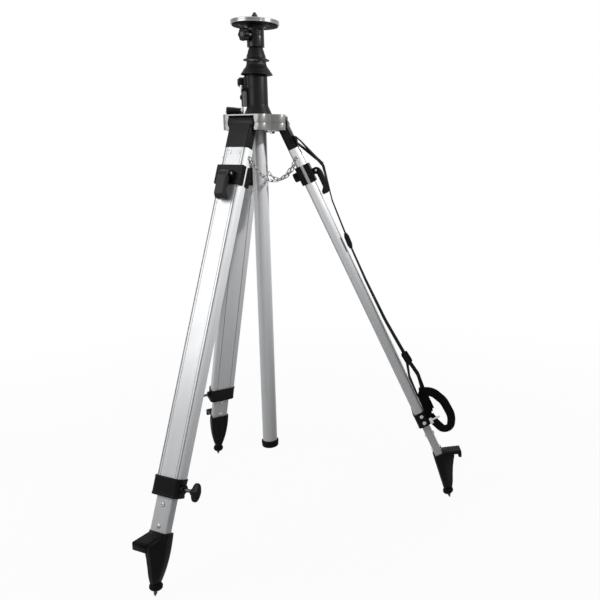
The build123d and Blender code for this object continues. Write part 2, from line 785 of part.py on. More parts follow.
def leg_top():
    """Casting with the hinge barrel, its trunnions and a plug in the outer leg."""
    body = rod(BARREL_D / 2, (0, -barrel_half, 0), (0, barrel_half, 0))
    reach = barrel_half + TRUNNION_L
    body += rod(TRUNNION_D / 2, (0, -reach, 0), (0, reach, 0))
    body += leg_prism(0, 0, LEG_TOP)
    body += inner_prism(SLIDE_GAP - RUN_GAP, LEG_TOP, LEG_TOP + TOP_PLUG)
    for y in top_screw_ys():
        level = -top_screw_station
        body -= rod(LEG_SCREW_D / 2 + RUN_GAP, (0, y, level), (LEG_T, y, level))
    return body


def outer_leg():
    """Extrusion with a cavity for the inner leg, hollow edge beads and grooves beside them."""
    section = RectangleRounded(LEG_T, LEG_W, LEG_ROUND)
    section -= RectangleRounded(cavity_t, cavity_w, INNER_ROUND + SLIDE_GAP)
    wall = (LEG_T - cavity_t) / 2
    bead = (LEG_W - cavity_w) / 2 - 2 * LEG_WEB
    groove_y = LEG_W / 2 - LEG_BEAD_W
    for side in (-1, 1):
        middle = side * (cavity_w / 2 + LEG_WEB + bead / 2)
        section -= Pos(0, middle) * Rectangle(LEG_T - 2 * wall, bead)
        for face in (-1, 1):
            section -= Pos(face * LEG_T / 2, side * groove_y) * Rectangle(2 * LEG_GROOVE_DEPTH, LEG_GROOVE_W)
    body = extrude(Pos(0, 0, -leg_end) * section, amount=LEG_L)
    level = -adjuster_station
    body -= rod(ADJUSTER_SCREW_D / 2 + SLIDE_GAP, (-LEG_T, 0, level), (0, 0, level))
    level = -thumb_station
    body -= rod(THUMB_D / 2 + SLIDE_GAP, (0, 0, level), (0, LEG_W, level))
    for y in top_screw_ys():
        level = -top_screw_station
        body -= rod(LEG_SCREW_D / 2 + RUN_GAP, (0, y, level), (LEG_T, y, level))
    for station in band_screw_stations():
        inside = (BAND_SCREW_X, -cavity_w / 2, -station)
        body -= rod(LEG_SCREW_D / 2 + RUN_GAP, (BAND_SCREW_X, -LEG_W, -station), inside)
    return body


def quick_jaws():
    """Outer and inner clamp jaws round the leg; the outer one has ears for the lever."""
    side = LEG_W / 2 + JAW_T
    heights = stations(jaw_station, jaw_end)
    leg_room = leg_prism(RUN_GAP, jaw_station, jaw_end)
    outer = block((JAW_STRIP / 2, jaw_face), (-side, side), heights) - leg_room
    inner = block((-jaw_face, -JAW_STRIP / 2), (-side, side), heights) - leg_room
    ear_in = LEVER_W / 2 + SLIDE_GAP
    pivot = -pivot_station
    for side in (-1, 1):
        span = sorted((side * ear_in, side * (ear_in + EAR_T)))
        ear = block((jaw_face, pivot_x), span, (pivot - EAR_R, pivot + EAR_R))
        ear += rod(EAR_R, (pivot_x, span[0], pivot), (pivot_x, span[1], pivot))
        ear &= block((jaw_face, pivot_x + EAR_R), span, (pivot - EAR_R, pivot + EAR_R))
        outer += ear
    pin_reach = ear_in + EAR_T
    outer -= rod(LEVER_PIN_D / 2 + RUN_GAP, (pivot_x, -pin_reach, pivot), (pivot_x, pin_reach, pivot))
    level = -adjuster_station
    inner -= rod(ADJUSTER_SCREW_D / 2 + RUN_GAP, (-jaw_face, 0, level), (0, 0, level))
    return group([outer, inner])


def quick_lever():
    """Cam lever that turns on the ears' pin and lies down along the leg."""
    pivot = -pivot_station
    hub = rod(LEVER_HUB_D / 2, (pivot_x, -LEVER_W / 2, pivot), (pivot_x, LEVER_W / 2, pivot))
    inside = pivot_x - LEVER_SETBACK
    outside = inside + LEVER_T
    tip = pivot - LEVER_L
    arm = across([
        (pivot_x, pivot + LEVER_HUB_D / 2), (outside, pivot - LEVER_HUB_D / 2), (outside, tip + LEVER_HOOK_H),
        (outside - LEVER_T / 2, tip), (inside - LEVER_HOOK, tip), (inside - LEVER_HOOK, tip + LEVER_HOOK_H),
        (inside, tip + LEVER_HOOK_H + LEVER_HOOK), (inside, pivot - LEVER_HUB_D / 2),
        (pivot_x, pivot - LEVER_HUB_D / 2),
    ], LEVER_W)
    lever = hub + arm
    return lever - rod(LEVER_PIN_D / 2 + RUN_GAP, (pivot_x, -LEVER_W, pivot), (pivot_x, LEVER_W, pivot))


def clamp_adjuster():
    """Round knob and screw on the inner jaw."""
    level = -adjuster_station
    face = -jaw_face - SLIDE_GAP
    knob = rod(ADJUSTER_D / 2, (face, 0, level), (face - ADJUSTER_T, 0, level))
    tip = -INNER_T / 2 - ADJUSTER_TIP_GAP
    return knob + rod(ADJUSTER_SCREW_D / 2, (tip, 0, level), (face, 0, level))


def band_screw_stations():
    """Stations of the two screws on the band's side."""
    middle = band_station + BAND_H / 2
    return (middle - BAND_SCREW_PITCH / 2, middle + BAND_SCREW_PITCH / 2)


def band_clamp():
    """Sleeve on the leg's lower end with a boss for the thumbscrew."""
    outline = RectangleRounded(2 * band_face, 2 * band_side, BAND_ROUND)
    body = extrude(Pos(0, 0, -band_end) * outline, amount=BAND_H)
    level = -thumb_station
    body += rod(BAND_BOSS_D / 2, (0, 0, level), (0, band_boss_end, level))
    body -= leg_prism(RUN_GAP, band_station, leg_end)
    body -= inner_prism(SLIDE_GAP, leg_end, band_end)
    body -= rod(THUMB_D / 2 + RUN_GAP, (0, 0, level), (0, band_boss_end, level))
    for station in band_screw_stations():
        inside = (BAND_SCREW_X, 0, -station)
        body -= rod(LEG_SCREW_D / 2 + RUN_GAP, (BAND_SCREW_X, -band_side, -station), inside)
    return body


def thumbscrew():
    """Wing screw in the band's boss that presses on the inner leg."""
    level = -thumb_station
    seat = band_boss_end + THUMB_NECK
    tip = INNER_W / 2 + THUMB_TIP_GAP
    body = rod(THUMB_D / 2, (0, tip, level), (0, seat, level))
    body += rod(THUMB_HUB_D / 2, (0, seat, level), (0, seat + THUMB_HUB_T, level))
    wing = block(
        (-THUMB_WING_T / 2, THUMB_WING_T / 2), (seat, seat + THUMB_HUB_T),
        (level - THUMB_WING_L / 2, level + THUMB_WING_L / 2),
    )
    return body + fillet(wing.edges().filter_by(Axis.X), THUMB_WING_ROUND)


def leg_fasteners():
    """Lever pin, casting screws, band screws and chain staples of one leg."""
    pieces = []
    pin_reach = LEVER_W / 2 + SLIDE_GAP + EAR_T
    pivot = -pivot_station
    pieces.append(rod(LEVER_PIN_D / 2, (pivot_x, -pin_reach, pivot), (pivot_x, pin_reach, pivot)))
    face = LEG_T / 2
    for y in top_screw_ys():
        level = -top_screw_station
        seat = (face, y, level)
        screw = rod(LEG_SCREW_D / 2, (LEG_SCREW_D, y, level), seat)
        pieces.append(screw + rod(LEG_SCREW_HEAD_D / 2, seat, (face + LEG_SCREW_HEAD_H, y, level)))
    for station in band_screw_stations():
        seat = (BAND_SCREW_X, -band_side, -station)
        screw = rod(LEG_SCREW_D / 2, (BAND_SCREW_X, -cavity_w / 2 - LEG_WEB, -station), seat)
        head_out = (BAND_SCREW_X, -band_side - BAND_SCREW_HEAD_H, -station)
        pieces.append(screw + rod(BAND_SCREW_HEAD_D / 2, seat, head_out))
    for side in (-1, 1):
        plane = Plane(origin=(0, 0, 0), x_dir=(0, 0, 1), z_dir=(-side, 0, 0))
        staple = Solid.make_torus(STAPLE_R, CHAIN_WIRE_D / 2, plane, major_angle=180)
        pieces.append(Pos(0, side * LEG_W / 2, -staple_station) * Rot(0, -STAPLE_LEAN, 0) * staple)
    return group(pieces)


# Inner leg and foot
def inner_leg():
    """Rounded rectangular tube that slides in the outer leg."""
    body = inner_prism(0, inner_top, inner_bottom) - inner_prism(-INNER_WALL, inner_top, inner_bottom)
    for x, level in stop_screw_seats():
        body -= rod(LEG_SCREW_D / 2 + RUN_GAP, (0, 0, level), (x, 0, level))
    return body


def stop_screw_seats():
    """Face and height of each stop screw: two on the leg's front and two on its back."""
    levels = (-stop_screw_station, -stop_screw_station - STOP_SCREW_PITCH)
    return [(face * INNER_T / 2, level) for face in (-1, 1) for level in levels]


def stop_screws():
    """Screws whose heads stop the inner leg at the band when it is pushed in."""
    pieces = []
    for x, level in stop_screw_seats():
        side = math.copysign(1.0, x)
        inside = (x - side * 2 * INNER_WALL, 0, level)
        screw = rod(LEG_SCREW_D / 2, inside, (x, 0, level))
        head_out = (x + side * STOP_SCREW_HEAD_H, 0, level)
        pieces.append(screw + rod(STOP_SCREW_HEAD_D / 2, (x, 0, level), head_out))
    return group(pieces)


def foot_axis():
    """Place of the foot's own frame: at its top, with Z up along its bent axis."""
    return Pos(0, 0, -foot_station) * Rot(0, FOOT_BEND, 0)


def foot():
    """Casting that tapers and bends in towards its spike, with a step plate and a web below it."""
    top = Pos(0, 0, -foot_station) * RectangleRounded(FOOT_T, FOOT_W, LEG_ROUND)
    end = foot_axis() * Pos(0, 0, -FOOT_L) * RectangleRounded(FOOT_END_T, FOOT_END_W, FOOT_END_ROUND)
    body = loft([end, top])
    half = STEP_W / 2
    step = block((0, STEP_REACH), (-half, half), (STEP_RISE - STEP_T, STEP_RISE))
    lip = (STEP_REACH - STEP_LIP, STEP_REACH)
    step += block(lip, (-half, half), (STEP_RISE - STEP_LIP_H, STEP_RISE))
    body += Pos(0, 0, -foot_station) * Rot(0, STEP_TILT, 0) * step
    web_drop = FOOT_WEB_REACH * math.tan(math.radians(STEP_TILT - FOOT_BEND)) + STEP_T / 2
    body += foot_axis() * across([
        (0, -STEP_T / 2), (FOOT_WEB_REACH, -web_drop), (FOOT_END_T / 2, -FOOT_L), (0, -FOOT_L),
    ], FOOT_END_W)
    body -= inner_prism(RUN_GAP, leg_end, inner_bottom)
    spike_top = FOOT_L - SPIKE_ROOT
    return body - foot_axis() * rod(SPIKE_D / 2 + RUN_GAP, (0, 0, -spike_reach), (0, 0, -spike_top))


def foot_tip():
    """Rubber ball under the casting and the steel spike through it."""
    centre = FOOT_L + BALL_DROP
    ball = Pos(0, 0, -centre) * Sphere(BALL_D / 2)
    ball -= block((-BALL_D, BALL_D), (-BALL_D, BALL_D), (-FOOT_L, BALL_D - FOOT_L))
    ball -= rod(SPIKE_D / 2 + RUN_GAP, (0, 0, -centre - BALL_D), (0, 0, -FOOT_L + BALL_D))
    radius = SPIKE_D / 2
    spike = turned([
        (0, SPIKE_ROOT - FOOT_L), (radius, SPIKE_ROOT - FOOT_L), (radius, SPIKE_POINT - spike_reach),
        (0, -spike_reach),
    ])
    return group([foot_axis() * ball, foot_axis() * spike])


# Spread chains
def staple_apex(number, side):
    """Middle of a staple's wire, in the tripod's frame."""
    spot = leg_frame(number) * Pos(0, side * (LEG_W / 2 + STAPLE_R), -staple_station)
    return spot.position


def staple_bar(number):
    """Direction of a staple's wire at its middle, square to the chain that hangs on it."""
    return (leg_frame(number) * Rot(0, -STAPLE_LEAN, 0)).z_axis.direction


def hanging_points(start, end):
    """Place and direction of each link on a parabola hung between two points."""
    samples = 400
    def curve(sag):
        points = []
        for number in range(samples + 1):
            share = number / samples
            dip = Vector(0, 0, -4 * sag * share * (1 - share))
            points.append(start + (end - start) * share + dip)
        return points
    low, high = 0.0, chain_length
    for _ in range(50):
        sag = (low + high) / 2
        points = curve(sag)
        run = sum((b - a).length for a, b in zip(points, points[1:]))
        low, high = (sag, high) if run < chain_length else (low, sag)
    wanted = [link_margin + number * link_pitch for number in range(LINK_COUNT)]
    places = []
    travelled = 0.0
    for a, b in zip(points, points[1:]):
        step = (b - a).length
        while len(places) < LINK_COUNT and wanted[len(places)] <= travelled + step:
            share = (wanted[len(places)] - travelled) / step
            places.append((a + (b - a) * share, (b - a).normalized()))
        travelled += step
    return places


def chain_link(place, tangent, normal):
    """Closed oval link of round wire; its long axis lies along the tangent."""
    plane = Plane(origin=place, x_dir=tangent, z_dir=normal)
    turn_r = (LINK_WIDTH + CHAIN_WIRE_D) / 2
    half = (LINK_LENGTH - LINK_WIDTH) / 2
    wire_r = CHAIN_WIRE_D / 2
    link = Part()
    for side in (-1, 1):
        straight = Plane(origin=(-half, side * turn_r, 0), z_dir=(1, 0, 0))
        link += Solid.make_cylinder(wire_r, 2 * half, straight)
        end = Plane(origin=(side * half, 0, 0), x_dir=(0, -side, 0), z_dir=(0, 0, 1))
        link += Solid.make_torus(turn_r, wire_r, end, major_angle=180)
    return plane.location * link


def spread_chains():
    """Three slack chains; the end links lie square to the staples and neighbours square to each other."""
    links = []
    for number in range(LEG_COUNT):
        following = (number + 1) % LEG_COUNT
        start_bar = staple_bar(number)
        end_bar = staple_bar(following)
        places = hanging_points(staple_apex(number, 1), staple_apex(following, -1))
        for order, (place, tangent) in enumerate(places):
            bar = start_bar + (end_bar - start_bar) * (order / (LINK_COUNT - 1))
            normal = (bar - tangent * bar.dot(tangent)).normalized()
            if order % 2:
                normal = tangent.cross(normal)
            links.append(chain_link(place, tangent, normal))
    return group(links)


# Strap on the first leg
def strap_points():
    """Strap's middle line as (x, station, bend) from its anchor down to the clip on the band."""
    face = LEG_T / 2 + STRAP_T / 2
    jaw = jaw_face + STRAP_LIFT + STRAP_T / 2
    clip = band_face + BUCKLE_T / 2
    bow = face + STRAP_BOW
    return [
        (face, STRAP_START, 0),
        (face, STRAP_LEAVES, STRAP_BEND),
        (jaw + STRAP_HUMP, LEG_TOP + STRAP_HUMP_DROP, STRAP_BEND),
        (jaw + STRAP_EASE, jaw_end + STRAP_EASE_DROP, STRAP_BEND),
        (bow, jaw_end + STRAP_BOW_DROP, STRAP_BEND),
        (bow + STRAP_LIFT, band_end - STRAP_BOW_RISE, STRAP_BEND),
        (clip, band_end - LOOP_RISE, LOOP_BEND),
        (LOOP_REACH - LOOP_BEND, band_end - LOOP_SHOULDER_RISE, LOOP_BEND),
        (LOOP_REACH, band_end + LOOP_ELBOW_DROP, LOOP_BEND),
        (LOOP_REACH - 2 * LOOP_BEND, band_end + LOOP_DROP, LOOP_BEND),
        (clip + 2 * LOOP_BEND, band_end + LOOP_DROP, LOOP_BEND),
        (clip, band_end + LOOP_BEND, LOOP_BEND),
        (clip, band_end - CLIP_L, 0),
    ]


def carry_strap():
    """Flat strap that hangs slack down the leg's face and ends in a carrying loop."""
    points = strap_points()
    bends = [bend for x, station, bend in points[1:-1]]
    path = FilletPolyline(*[(x, STRAP_Y, -station) for x, station, bend in points], radius=bends)
    start = Plane(origin=path @ 0, x_dir=(0, 1, 0), z_dir=path % 0)
    return sweep(start * Rectangle(STRAP_W, STRAP_T), path=path)


def strap_spot(station):
    """Place of the strap at a station above its loop: X out of the strap's face, Z up along it."""
    points = strap_points()
    for (x, high, _), (next_x, low, _) in zip(points, points[1:]):
        if high <= station <= low:
            lean = (next_x - x) / (low - high)
            turn = math.degrees(math.atan(lean))
            return Pos(x + lean * (station - high), STRAP_Y, -station) * Rot(0, -turn, 0)


def strap_frame(length):
    """Flat metal frame with a slot for the strap."""
    half = STRAP_W / 2 + BUCKLE_GAP
    body = Box(BUCKLE_T, 2 * (half + BUCKLE_RIM), length)
    body = fillet(body.edges().filter_by(Axis.X), BUCKLE_RIM)
    return body - Box(STRAP_T + 2 * BUCKLE_GAP, 2 * half, 2 * length)


def strap_buckles():
    """Slider and buckle on the strap, and the clip that holds its end on the band."""
    places = (jaw_end + SLIDER_DROP, band_end - BUCKLE_RISE)
    pieces = [strap_spot(station) * strap_frame(BUCKLE_L) for station in places]
    clip_place = Pos(band_face + BUCKLE_T / 2, STRAP_Y, -band_end + CLIP_L / 2)
    return group(pieces + [clip_place * strap_frame(CLIP_L)])


def strap_anchor():
    """Bridge that holds the strap's upper end on the leg's top casting."""
    half = STRAP_W / 2 + BUCKLE_GAP
    face = LEG_T / 2
    roof = face + STRAP_T + BUCKLE_GAP
    heights = stations(STRAP_START + BUCKLE_RIM, STRAP_START + BUCKLE_RIM + ANCHOR_L)
    width = half + BUCKLE_RIM
    bridge = block((face, roof + ANCHOR_T), (STRAP_Y - width, STRAP_Y + width), heights)
    return bridge - block((face, roof), (STRAP_Y - half, STRAP_Y + half), heights)


def fixed_leg_pieces():
    """Name and body, in the leg frame, of each piece that stays with the outer leg."""
    return {
        "leg_top": leg_top(),
        "outer_leg": outer_leg(),
        "quick_jaws": quick_jaws(),
        "quick_lever": quick_lever(),
        "clamp_adjuster": clamp_adjuster(),
        "band_clamp": band_clamp(),
        "thumbscrew": thumbscrew(),
        "leg_fasteners": leg_fasteners(),
    }


def sliding_leg_pieces():
    """Name and body, in the leg frame, of each piece that slides with the inner leg."""
    return {
        "inner_leg": inner_leg(),
        "stop_screws": stop_screws(),
        "foot": foot(),
        "foot_tip": foot_tip(),
    }


def save(name, body):
    """Write one node's solids."""
    export_step(body, f"parts/{name}.step")


os.makedirs("parts", exist_ok=True)
for make in (
    head_plate, head_stud, plate_screws, neck, neck_knob, top_collar, column_tube, rack, end_cap, lock_ring,
    column_housing, column_bushings, crank_bearing, pinion_shaft, crank_arm, crank_hardware, crank_grip,
    spider_upper, spider_lower, spider_bolts, spread_chains,
):
    save(make.__name__, make())
fixed_pieces = fixed_leg_pieces()
sliding_pieces = sliding_leg_pieces()
for number in range(LEG_COUNT):
    place = leg_frame(number)
    drawn_out = place * Pos(0, 0, -extension(number))
    for name, body in fixed_pieces.items():
        save(f"{name}_{number + 1}", place * body)
    for name, body in sliding_pieces.items():
        save(f"{name}_{number + 1}", drawn_out * body)
for make in (strap_anchor, carry_strap, strap_buckles):
    save(make.__name__, leg_frame(0) * make())
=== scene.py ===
"""Visual model of an elevating survey tripod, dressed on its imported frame.

Sizes are millimetres in the part's frame: origin at the centre of the head plate's top face, Z up and the
first leg along X. Meshes are scaled to metres when they are made.
"""
import logging
import math
from dataclasses import dataclass, field, replace
from enum import Enum
from typing import Callable, Sequence

import bpy
import numpy as np
from mathutils import Matrix


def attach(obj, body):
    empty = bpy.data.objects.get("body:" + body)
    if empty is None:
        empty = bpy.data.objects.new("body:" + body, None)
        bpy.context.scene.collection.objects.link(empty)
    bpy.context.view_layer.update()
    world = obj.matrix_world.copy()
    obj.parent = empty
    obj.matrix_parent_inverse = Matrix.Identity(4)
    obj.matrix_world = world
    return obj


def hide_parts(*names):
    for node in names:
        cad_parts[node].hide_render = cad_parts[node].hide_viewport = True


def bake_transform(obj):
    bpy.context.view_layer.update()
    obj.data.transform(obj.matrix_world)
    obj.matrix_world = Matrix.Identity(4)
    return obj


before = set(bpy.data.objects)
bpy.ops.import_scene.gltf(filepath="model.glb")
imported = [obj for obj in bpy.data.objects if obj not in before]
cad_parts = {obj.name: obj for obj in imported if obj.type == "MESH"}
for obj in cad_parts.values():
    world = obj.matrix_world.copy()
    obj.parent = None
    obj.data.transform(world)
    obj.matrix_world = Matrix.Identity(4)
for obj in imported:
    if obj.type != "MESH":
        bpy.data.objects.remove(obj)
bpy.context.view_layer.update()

METRE = 0.001
SHARP_ANGLE = math.radians(38.0)
BEVEL_ANGLE = math.radians(32.0)
FLAT_ANGLE = math.radians(1.0)
WELD_GAP = 0.01
ROOM_SHARE, LEAST_ANGLE = 0.499, 1e-4
NOISE_ROUGHNESS, COAT_ROUGHNESS = 0.6, 0.12
WEAVE_BANDS, WEAVE_DISTORTION = (("X", 0.16), ("Y", 0.12)), 0.4
PATCH_SCALE, SCUFF_SCALE, WEAR_DETAIL = (26.0, 26.0, 26.0), (140.0, 140.0, 140.0), 4.0
PATCH_RANGE, SCUFF_RANGE, STAIN_RANGE = (0.52, 0.72), (0.5, 0.66), (0.35, 0.7)
TONE_RANGE, SHEEN_RANGE = (0.3, 0.7), (0.25, 0.75)
OUT, ACROSS, UP = np.eye(3)
LOG = logging.getLogger("tripod")
Array = np.ndarray
Numbers = Sequence[float] | Array
Rows = Sequence[Numbers] | Array
Pair = tuple[float, float]
Triple = tuple[float, float, float]
Socket = bpy.types.NodeSocket
Wave = Callable[[Array, Array, Array], Array]


class Grain(Enum):
    """How a finish's texture runs: coordinates, stretch and octaves of its noise, or none for a weave."""

    DRAWN = ("UV", (0.2, 0.003, 1.0), 2.0)
    TURNED = ("UV", (0.01, 0.5, 1.0), 2.0)
    CAST = ("Object", (420.0, 420.0, 420.0), 4.0)
    MOULDED = ("Object", (900.0, 900.0, 900.0), 3.0)
    WOVEN = None


class Shade:
    """Small builder for the node tree of a material or a world."""

    def __init__(self, owner: bpy.types.Material | bpy.types.World) -> None:
        """Start with an empty tree.

        Args:
            owner: the material or world.
        """
        owner.use_nodes = True
        self.tree = owner.node_tree
        self.tree.nodes.clear()

    def node(self, kind: str, values: dict[str | int, object], **settings: str) -> bpy.types.Node:
        """Add a node.

        Args:
            kind: its type, without the common prefix.
            values: its inputs by name or number, each a value or a socket to link.
            settings: its properties.

        Returns:
            The node.
        """
        node = self.tree.nodes.new("ShaderNode" + kind)
        for name, setting in settings.items():
            setattr(node, name, setting)
        for name, value in values.items():
            if isinstance(value, Socket):
                self.tree.links.new(value, node.inputs[name])
            else:
                node.inputs[name].default_value = value
        return node

    def noise(self, coordinates: str, scale: Numbers, detail: float) -> Socket:
        """Add a noise texture.

        Args:
            coordinates: name of the texture coordinate output that it runs on.
            scale: stretch of the coordinates along their three axes.
            detail: octaves of the noise.

        Returns:
            The noise's value.
        """
        place = self.node("TexCoord", {}).outputs[coordinates]
        mapped = self.node("Mapping", {"Vector": place, "Scale": scale}).outputs["Vector"]
        values = {"Vector": mapped, "Scale": 1.0, "Detail": detail, "Roughness": NOISE_ROUGHNESS}
        return self.node("TexNoise", values).outputs["Fac"]

    def weave(self) -> Socket:
        """Add two crossed sets of soft bands on the mesh's own UV map.

        Returns:
            The product of the bands.
        """
        place = self.node("TexCoord", {}).outputs["UV"]
        bands = []
        for axis, scale in WEAVE_BANDS:
            values = {"Vector": place, "Scale": scale, "Distortion": WEAVE_DISTORTION}
            bands.append(self.node("TexWave", values, bands_direction=axis).outputs["Fac"])
        return self.maths("MULTIPLY", *bands)

    def span(self, value: Socket, source: Numbers, target: Numbers = (0.0, 1.0)) -> Socket:
        """Value mapped from a source range to a target range, held at the ends."""
        names = ("Value", "From Min", "From Max", "To Min", "To Max")
        return self.node("MapRange", dict(zip(names, (value, *source, *target)))).outputs["Result"]

    def maths(self, kind: str, first: Socket, second: Socket) -> Socket:
        """Two values combined by an operation such as ADD."""
        return self.node("Math", {0: first, 1: second}, operation=kind).outputs[0]

    def mix(self, share: Socket, low: Socket | Numbers, high: Socket | Numbers) -> Socket:
        """Two colours mixed, with a share of the second; 6, 7 and 2 are the node's colour sockets."""
        return self.node("Mix", {"Factor": share, 6: low, 7: high}, data_type="RGBA").outputs[2]

    def choose(self, share: Socket, first: bpy.types.Node, second: bpy.types.Node) -> Socket:
        """Shaders of two nodes mixed, with a share of the second."""
        return self.node("MixShader", {0: share, 1: first.outputs[0], 2: second.outputs[0]}).outputs[0]

    def seen(self) -> Socket:
        """Whether a ray comes from the camera, a glossy surface or a clear one.

        Returns:
            1 for such rays, 0 for the others.
        """
        path = self.node("LightPath", {}).outputs
        first = self.maths("MAXIMUM", path["Is Camera Ray"], path["Is Glossy Ray"])
        return self.maths("MAXIMUM", first, path["Is Transmission Ray"])


@dataclass(frozen=True)
class Finish:
    """A surface finish: colour, sheen, texture and wear; depth is the relief's, in millimetres."""

    name: str
    slot: str
    colour: Triple
    worn: Triple
    metallic: float
    roughness: float
    grain: Grain
    depth: float
    spread: float = 0.12
    wear: float = 0.35
    gloss: float = 0.5
    coat: float = 0.0
    vary: float = 0.5

    def material(self) -> bpy.types.Material:
        """Material of this finish, made once.

        Returns:
            The material.
        """
        found = bpy.data.materials.get(self.name)
        if found:
            return found
        material = bpy.data.materials.new(self.name)
        shade = Shade(material)
        grain = shade.noise(*self.grain.value) if self.grain.value else shade.weave()
        patches = shade.noise("Object", PATCH_SCALE, WEAR_DETAIL)
        scuffs = shade.noise("Object", SCUFF_SCALE, WEAR_DETAIL)
        dark = tuple(value * (1.0 - self.spread) for value in self.colour)
        light = tuple(min(1.0, value * (1.0 + self.spread)) for value in self.colour)
        plain = shade.mix(shade.span(grain, TONE_RANGE), (*dark, 1.0), (*light, 1.0))
        worn = shade.span(patches, PATCH_RANGE, (0.0, self.wear))
        worn = shade.maths("MULTIPLY", worn, shade.span(scuffs, SCUFF_RANGE))
        swing = self.vary * self.roughness
        sheen = shade.span(grain, SHEEN_RANGE, (self.roughness - swing / 2, self.roughness + swing / 2))
        sheen = shade.maths("ADD", sheen, shade.span(patches, STAIN_RANGE, (-swing / 3, swing / 3)))
        relief = shade.node("Bump", {"Strength": 1.0, "Distance": self.depth * METRE, "Height": grain})
        shader = shade.node("BsdfPrincipled", {
            "Base Color": shade.mix(worn, plain, (*self.worn, 1.0)), "Roughness": sheen,
            "Normal": relief.outputs["Normal"], "Metallic": self.metallic, "Specular IOR Level": self.gloss,
            "Coat Weight": self.coat, "Coat Roughness": COAT_ROUGHNESS,
        })
        shade.node("OutputMaterial", {"Surface": shader.outputs["BSDF"]})
        return material


def grey(value: float) -> Triple:
    """Colour with three equal parts."""
    return (value, value, value)


ANODISED = Finish("anodised_drawn", "anodised_aluminium", (0.54, 0.545, 0.555), grey(0.44), 0.12, 0.34,
                  Grain.DRAWN, 0.0005, 0.04, 0.15, vary=0.25)
DULL_ANODISED = replace(ANODISED, name="anodised_dull", colour=(0.43, 0.434, 0.442), worn=grey(0.36))
TURNED_METAL = Finish("turned_aluminium", "machined_aluminium", (0.2, 0.202, 0.206), grey(0.18), 0.8, 0.24,
                      Grain.TURNED, 0.0008, 0.06, 0.15, vary=0.2)
GLOSS_BLACK = Finish("gloss_black", "black_casting", (0.004, 0.004, 0.0044), grey(0.012), 0.0, 0.26,
                     Grain.CAST, 0.0004, 0.2, 0.3, 0.12, 0.03, 0.15)
CAST_BLACK = Finish("cast_black", "black_casting", grey(0.003), grey(0.014), 0.0, 0.44,
                    Grain.CAST, 0.02, 0.25, 0.3, 0.07)
MATT_BLACK = replace(CAST_BLACK, name="matt_black", worn=grey(0.012), roughness=0.6, gloss=0.02)
CHARCOAL = Finish("cast_charcoal", "black_casting", (0.006, 0.006, 0.0062), grey(0.02), 0.0, 0.4,
                  Grain.CAST, 0.02, 0.2, 0.35, 0.08)
CAST_GREY = Finish("cast_grey", "grey_casting", (0.14, 0.14, 0.138), grey(0.22), 0.55, 0.38,
                   Grain.CAST, 0.03, 0.14)
BLACK_PLASTIC = Finish("moulded_black", "black_plastic", grey(0.004), grey(0.018), 0.0, 0.46,
                       Grain.MOULDED, 0.012, 0.2, 0.35, 0.09)
GREY_PLASTIC = replace(BLACK_PLASTIC, name="charcoal_plastic", colour=(0.011, 0.011, 0.0114),
                       worn=grey(0.035), roughness=0.4, gloss=0.11)
PANEL_GREY = Finish("panel_grey", "black_plastic", grey(0.07), grey(0.12), 0.0, 0.4,
                    Grain.MOULDED, 0.01, 0.15)
ZINC = Finish("bright_zinc", "zinc_steel", (0.5, 0.5, 0.49), (0.34, 0.33, 0.31), 0.85, 0.3,
              Grain.CAST, 0.008, 0.1)
CHAIN_STEEL = Finish("chain_steel", "zinc_steel", (0.2, 0.2, 0.196), (0.3, 0.3, 0.29), 0.85, 0.32,
                     Grain.CAST, 0.008, 0.12)
DARK_STEEL = Finish("dark_steel", "zinc_steel", grey(0.05), grey(0.16), 0.8, 0.34, Grain.CAST, 0.01, 0.2)
BRONZE = Finish("bushing_bronze", "bronze", (0.45, 0.3, 0.15), (0.6, 0.45, 0.25), 0.9, 0.35,
                Grain.CAST, 0.02, 0.15)
RUBBER = Finish("grained_rubber", "black_rubber", grey(0.004), (0.018, 0.017, 0.016), 0.0, 0.7,
                Grain.CAST, 0.04, 0.25, 0.6, 0.06)
WEBBING = Finish("woven_webbing", "black_webbing", (0.0028, 0.0028, 0.003), grey(0.01), 0.0, 0.8,
                 Grain.WOVEN, 0.3, 0.5, 0.35, 0.05)


def unit(vectors: Array) -> Array:
    """Vectors scaled to length 1, along the last axis."""
    return vectors / np.maximum(np.linalg.norm(vectors, axis=-1, keepdims=True), 1e-12)


def circle(angle: Array) -> Array:
    """Points of the unit circle at angles."""
    return np.column_stack([np.cos(angle), np.sin(angle)])


def turns(count: int) -> Array:
    """Evenly spaced angles of a whole turn, without its end."""
    return np.linspace(0.0, 2 * math.pi, count, endpoint=False)


def ramp(value: Array, length: float) -> Array:
    """Value as a share of a length, held between 0 and 1."""
    return np.clip(value / length, 0.0, 1.0)


def swell(angle: Array, count: int) -> Array:
    """Waves between 0 and 1 with a number of crests round a turn: half of one plus the cosine."""
    return 0.5 + 0.5 * np.cos(count * angle)


def spin(axis: int, degrees: float) -> Array:
    """Axes turned about X, Y or Z: cosine and sine of the angle in the plane of the other two.

    Args:
        axis: number of the axis, from 0.
        degrees: angle of the turn.

    Returns:
        The turned axes, as rows.
    """
    turn, first, second = math.radians(degrees), (axis + 1) % 3, (axis + 2) % 3
    rows = np.eye(3)
    rows[first, first] = rows[second, second] = math.cos(turn)
    rows[first, second], rows[second, first] = math.sin(turn), -math.sin(turn)
    return rows


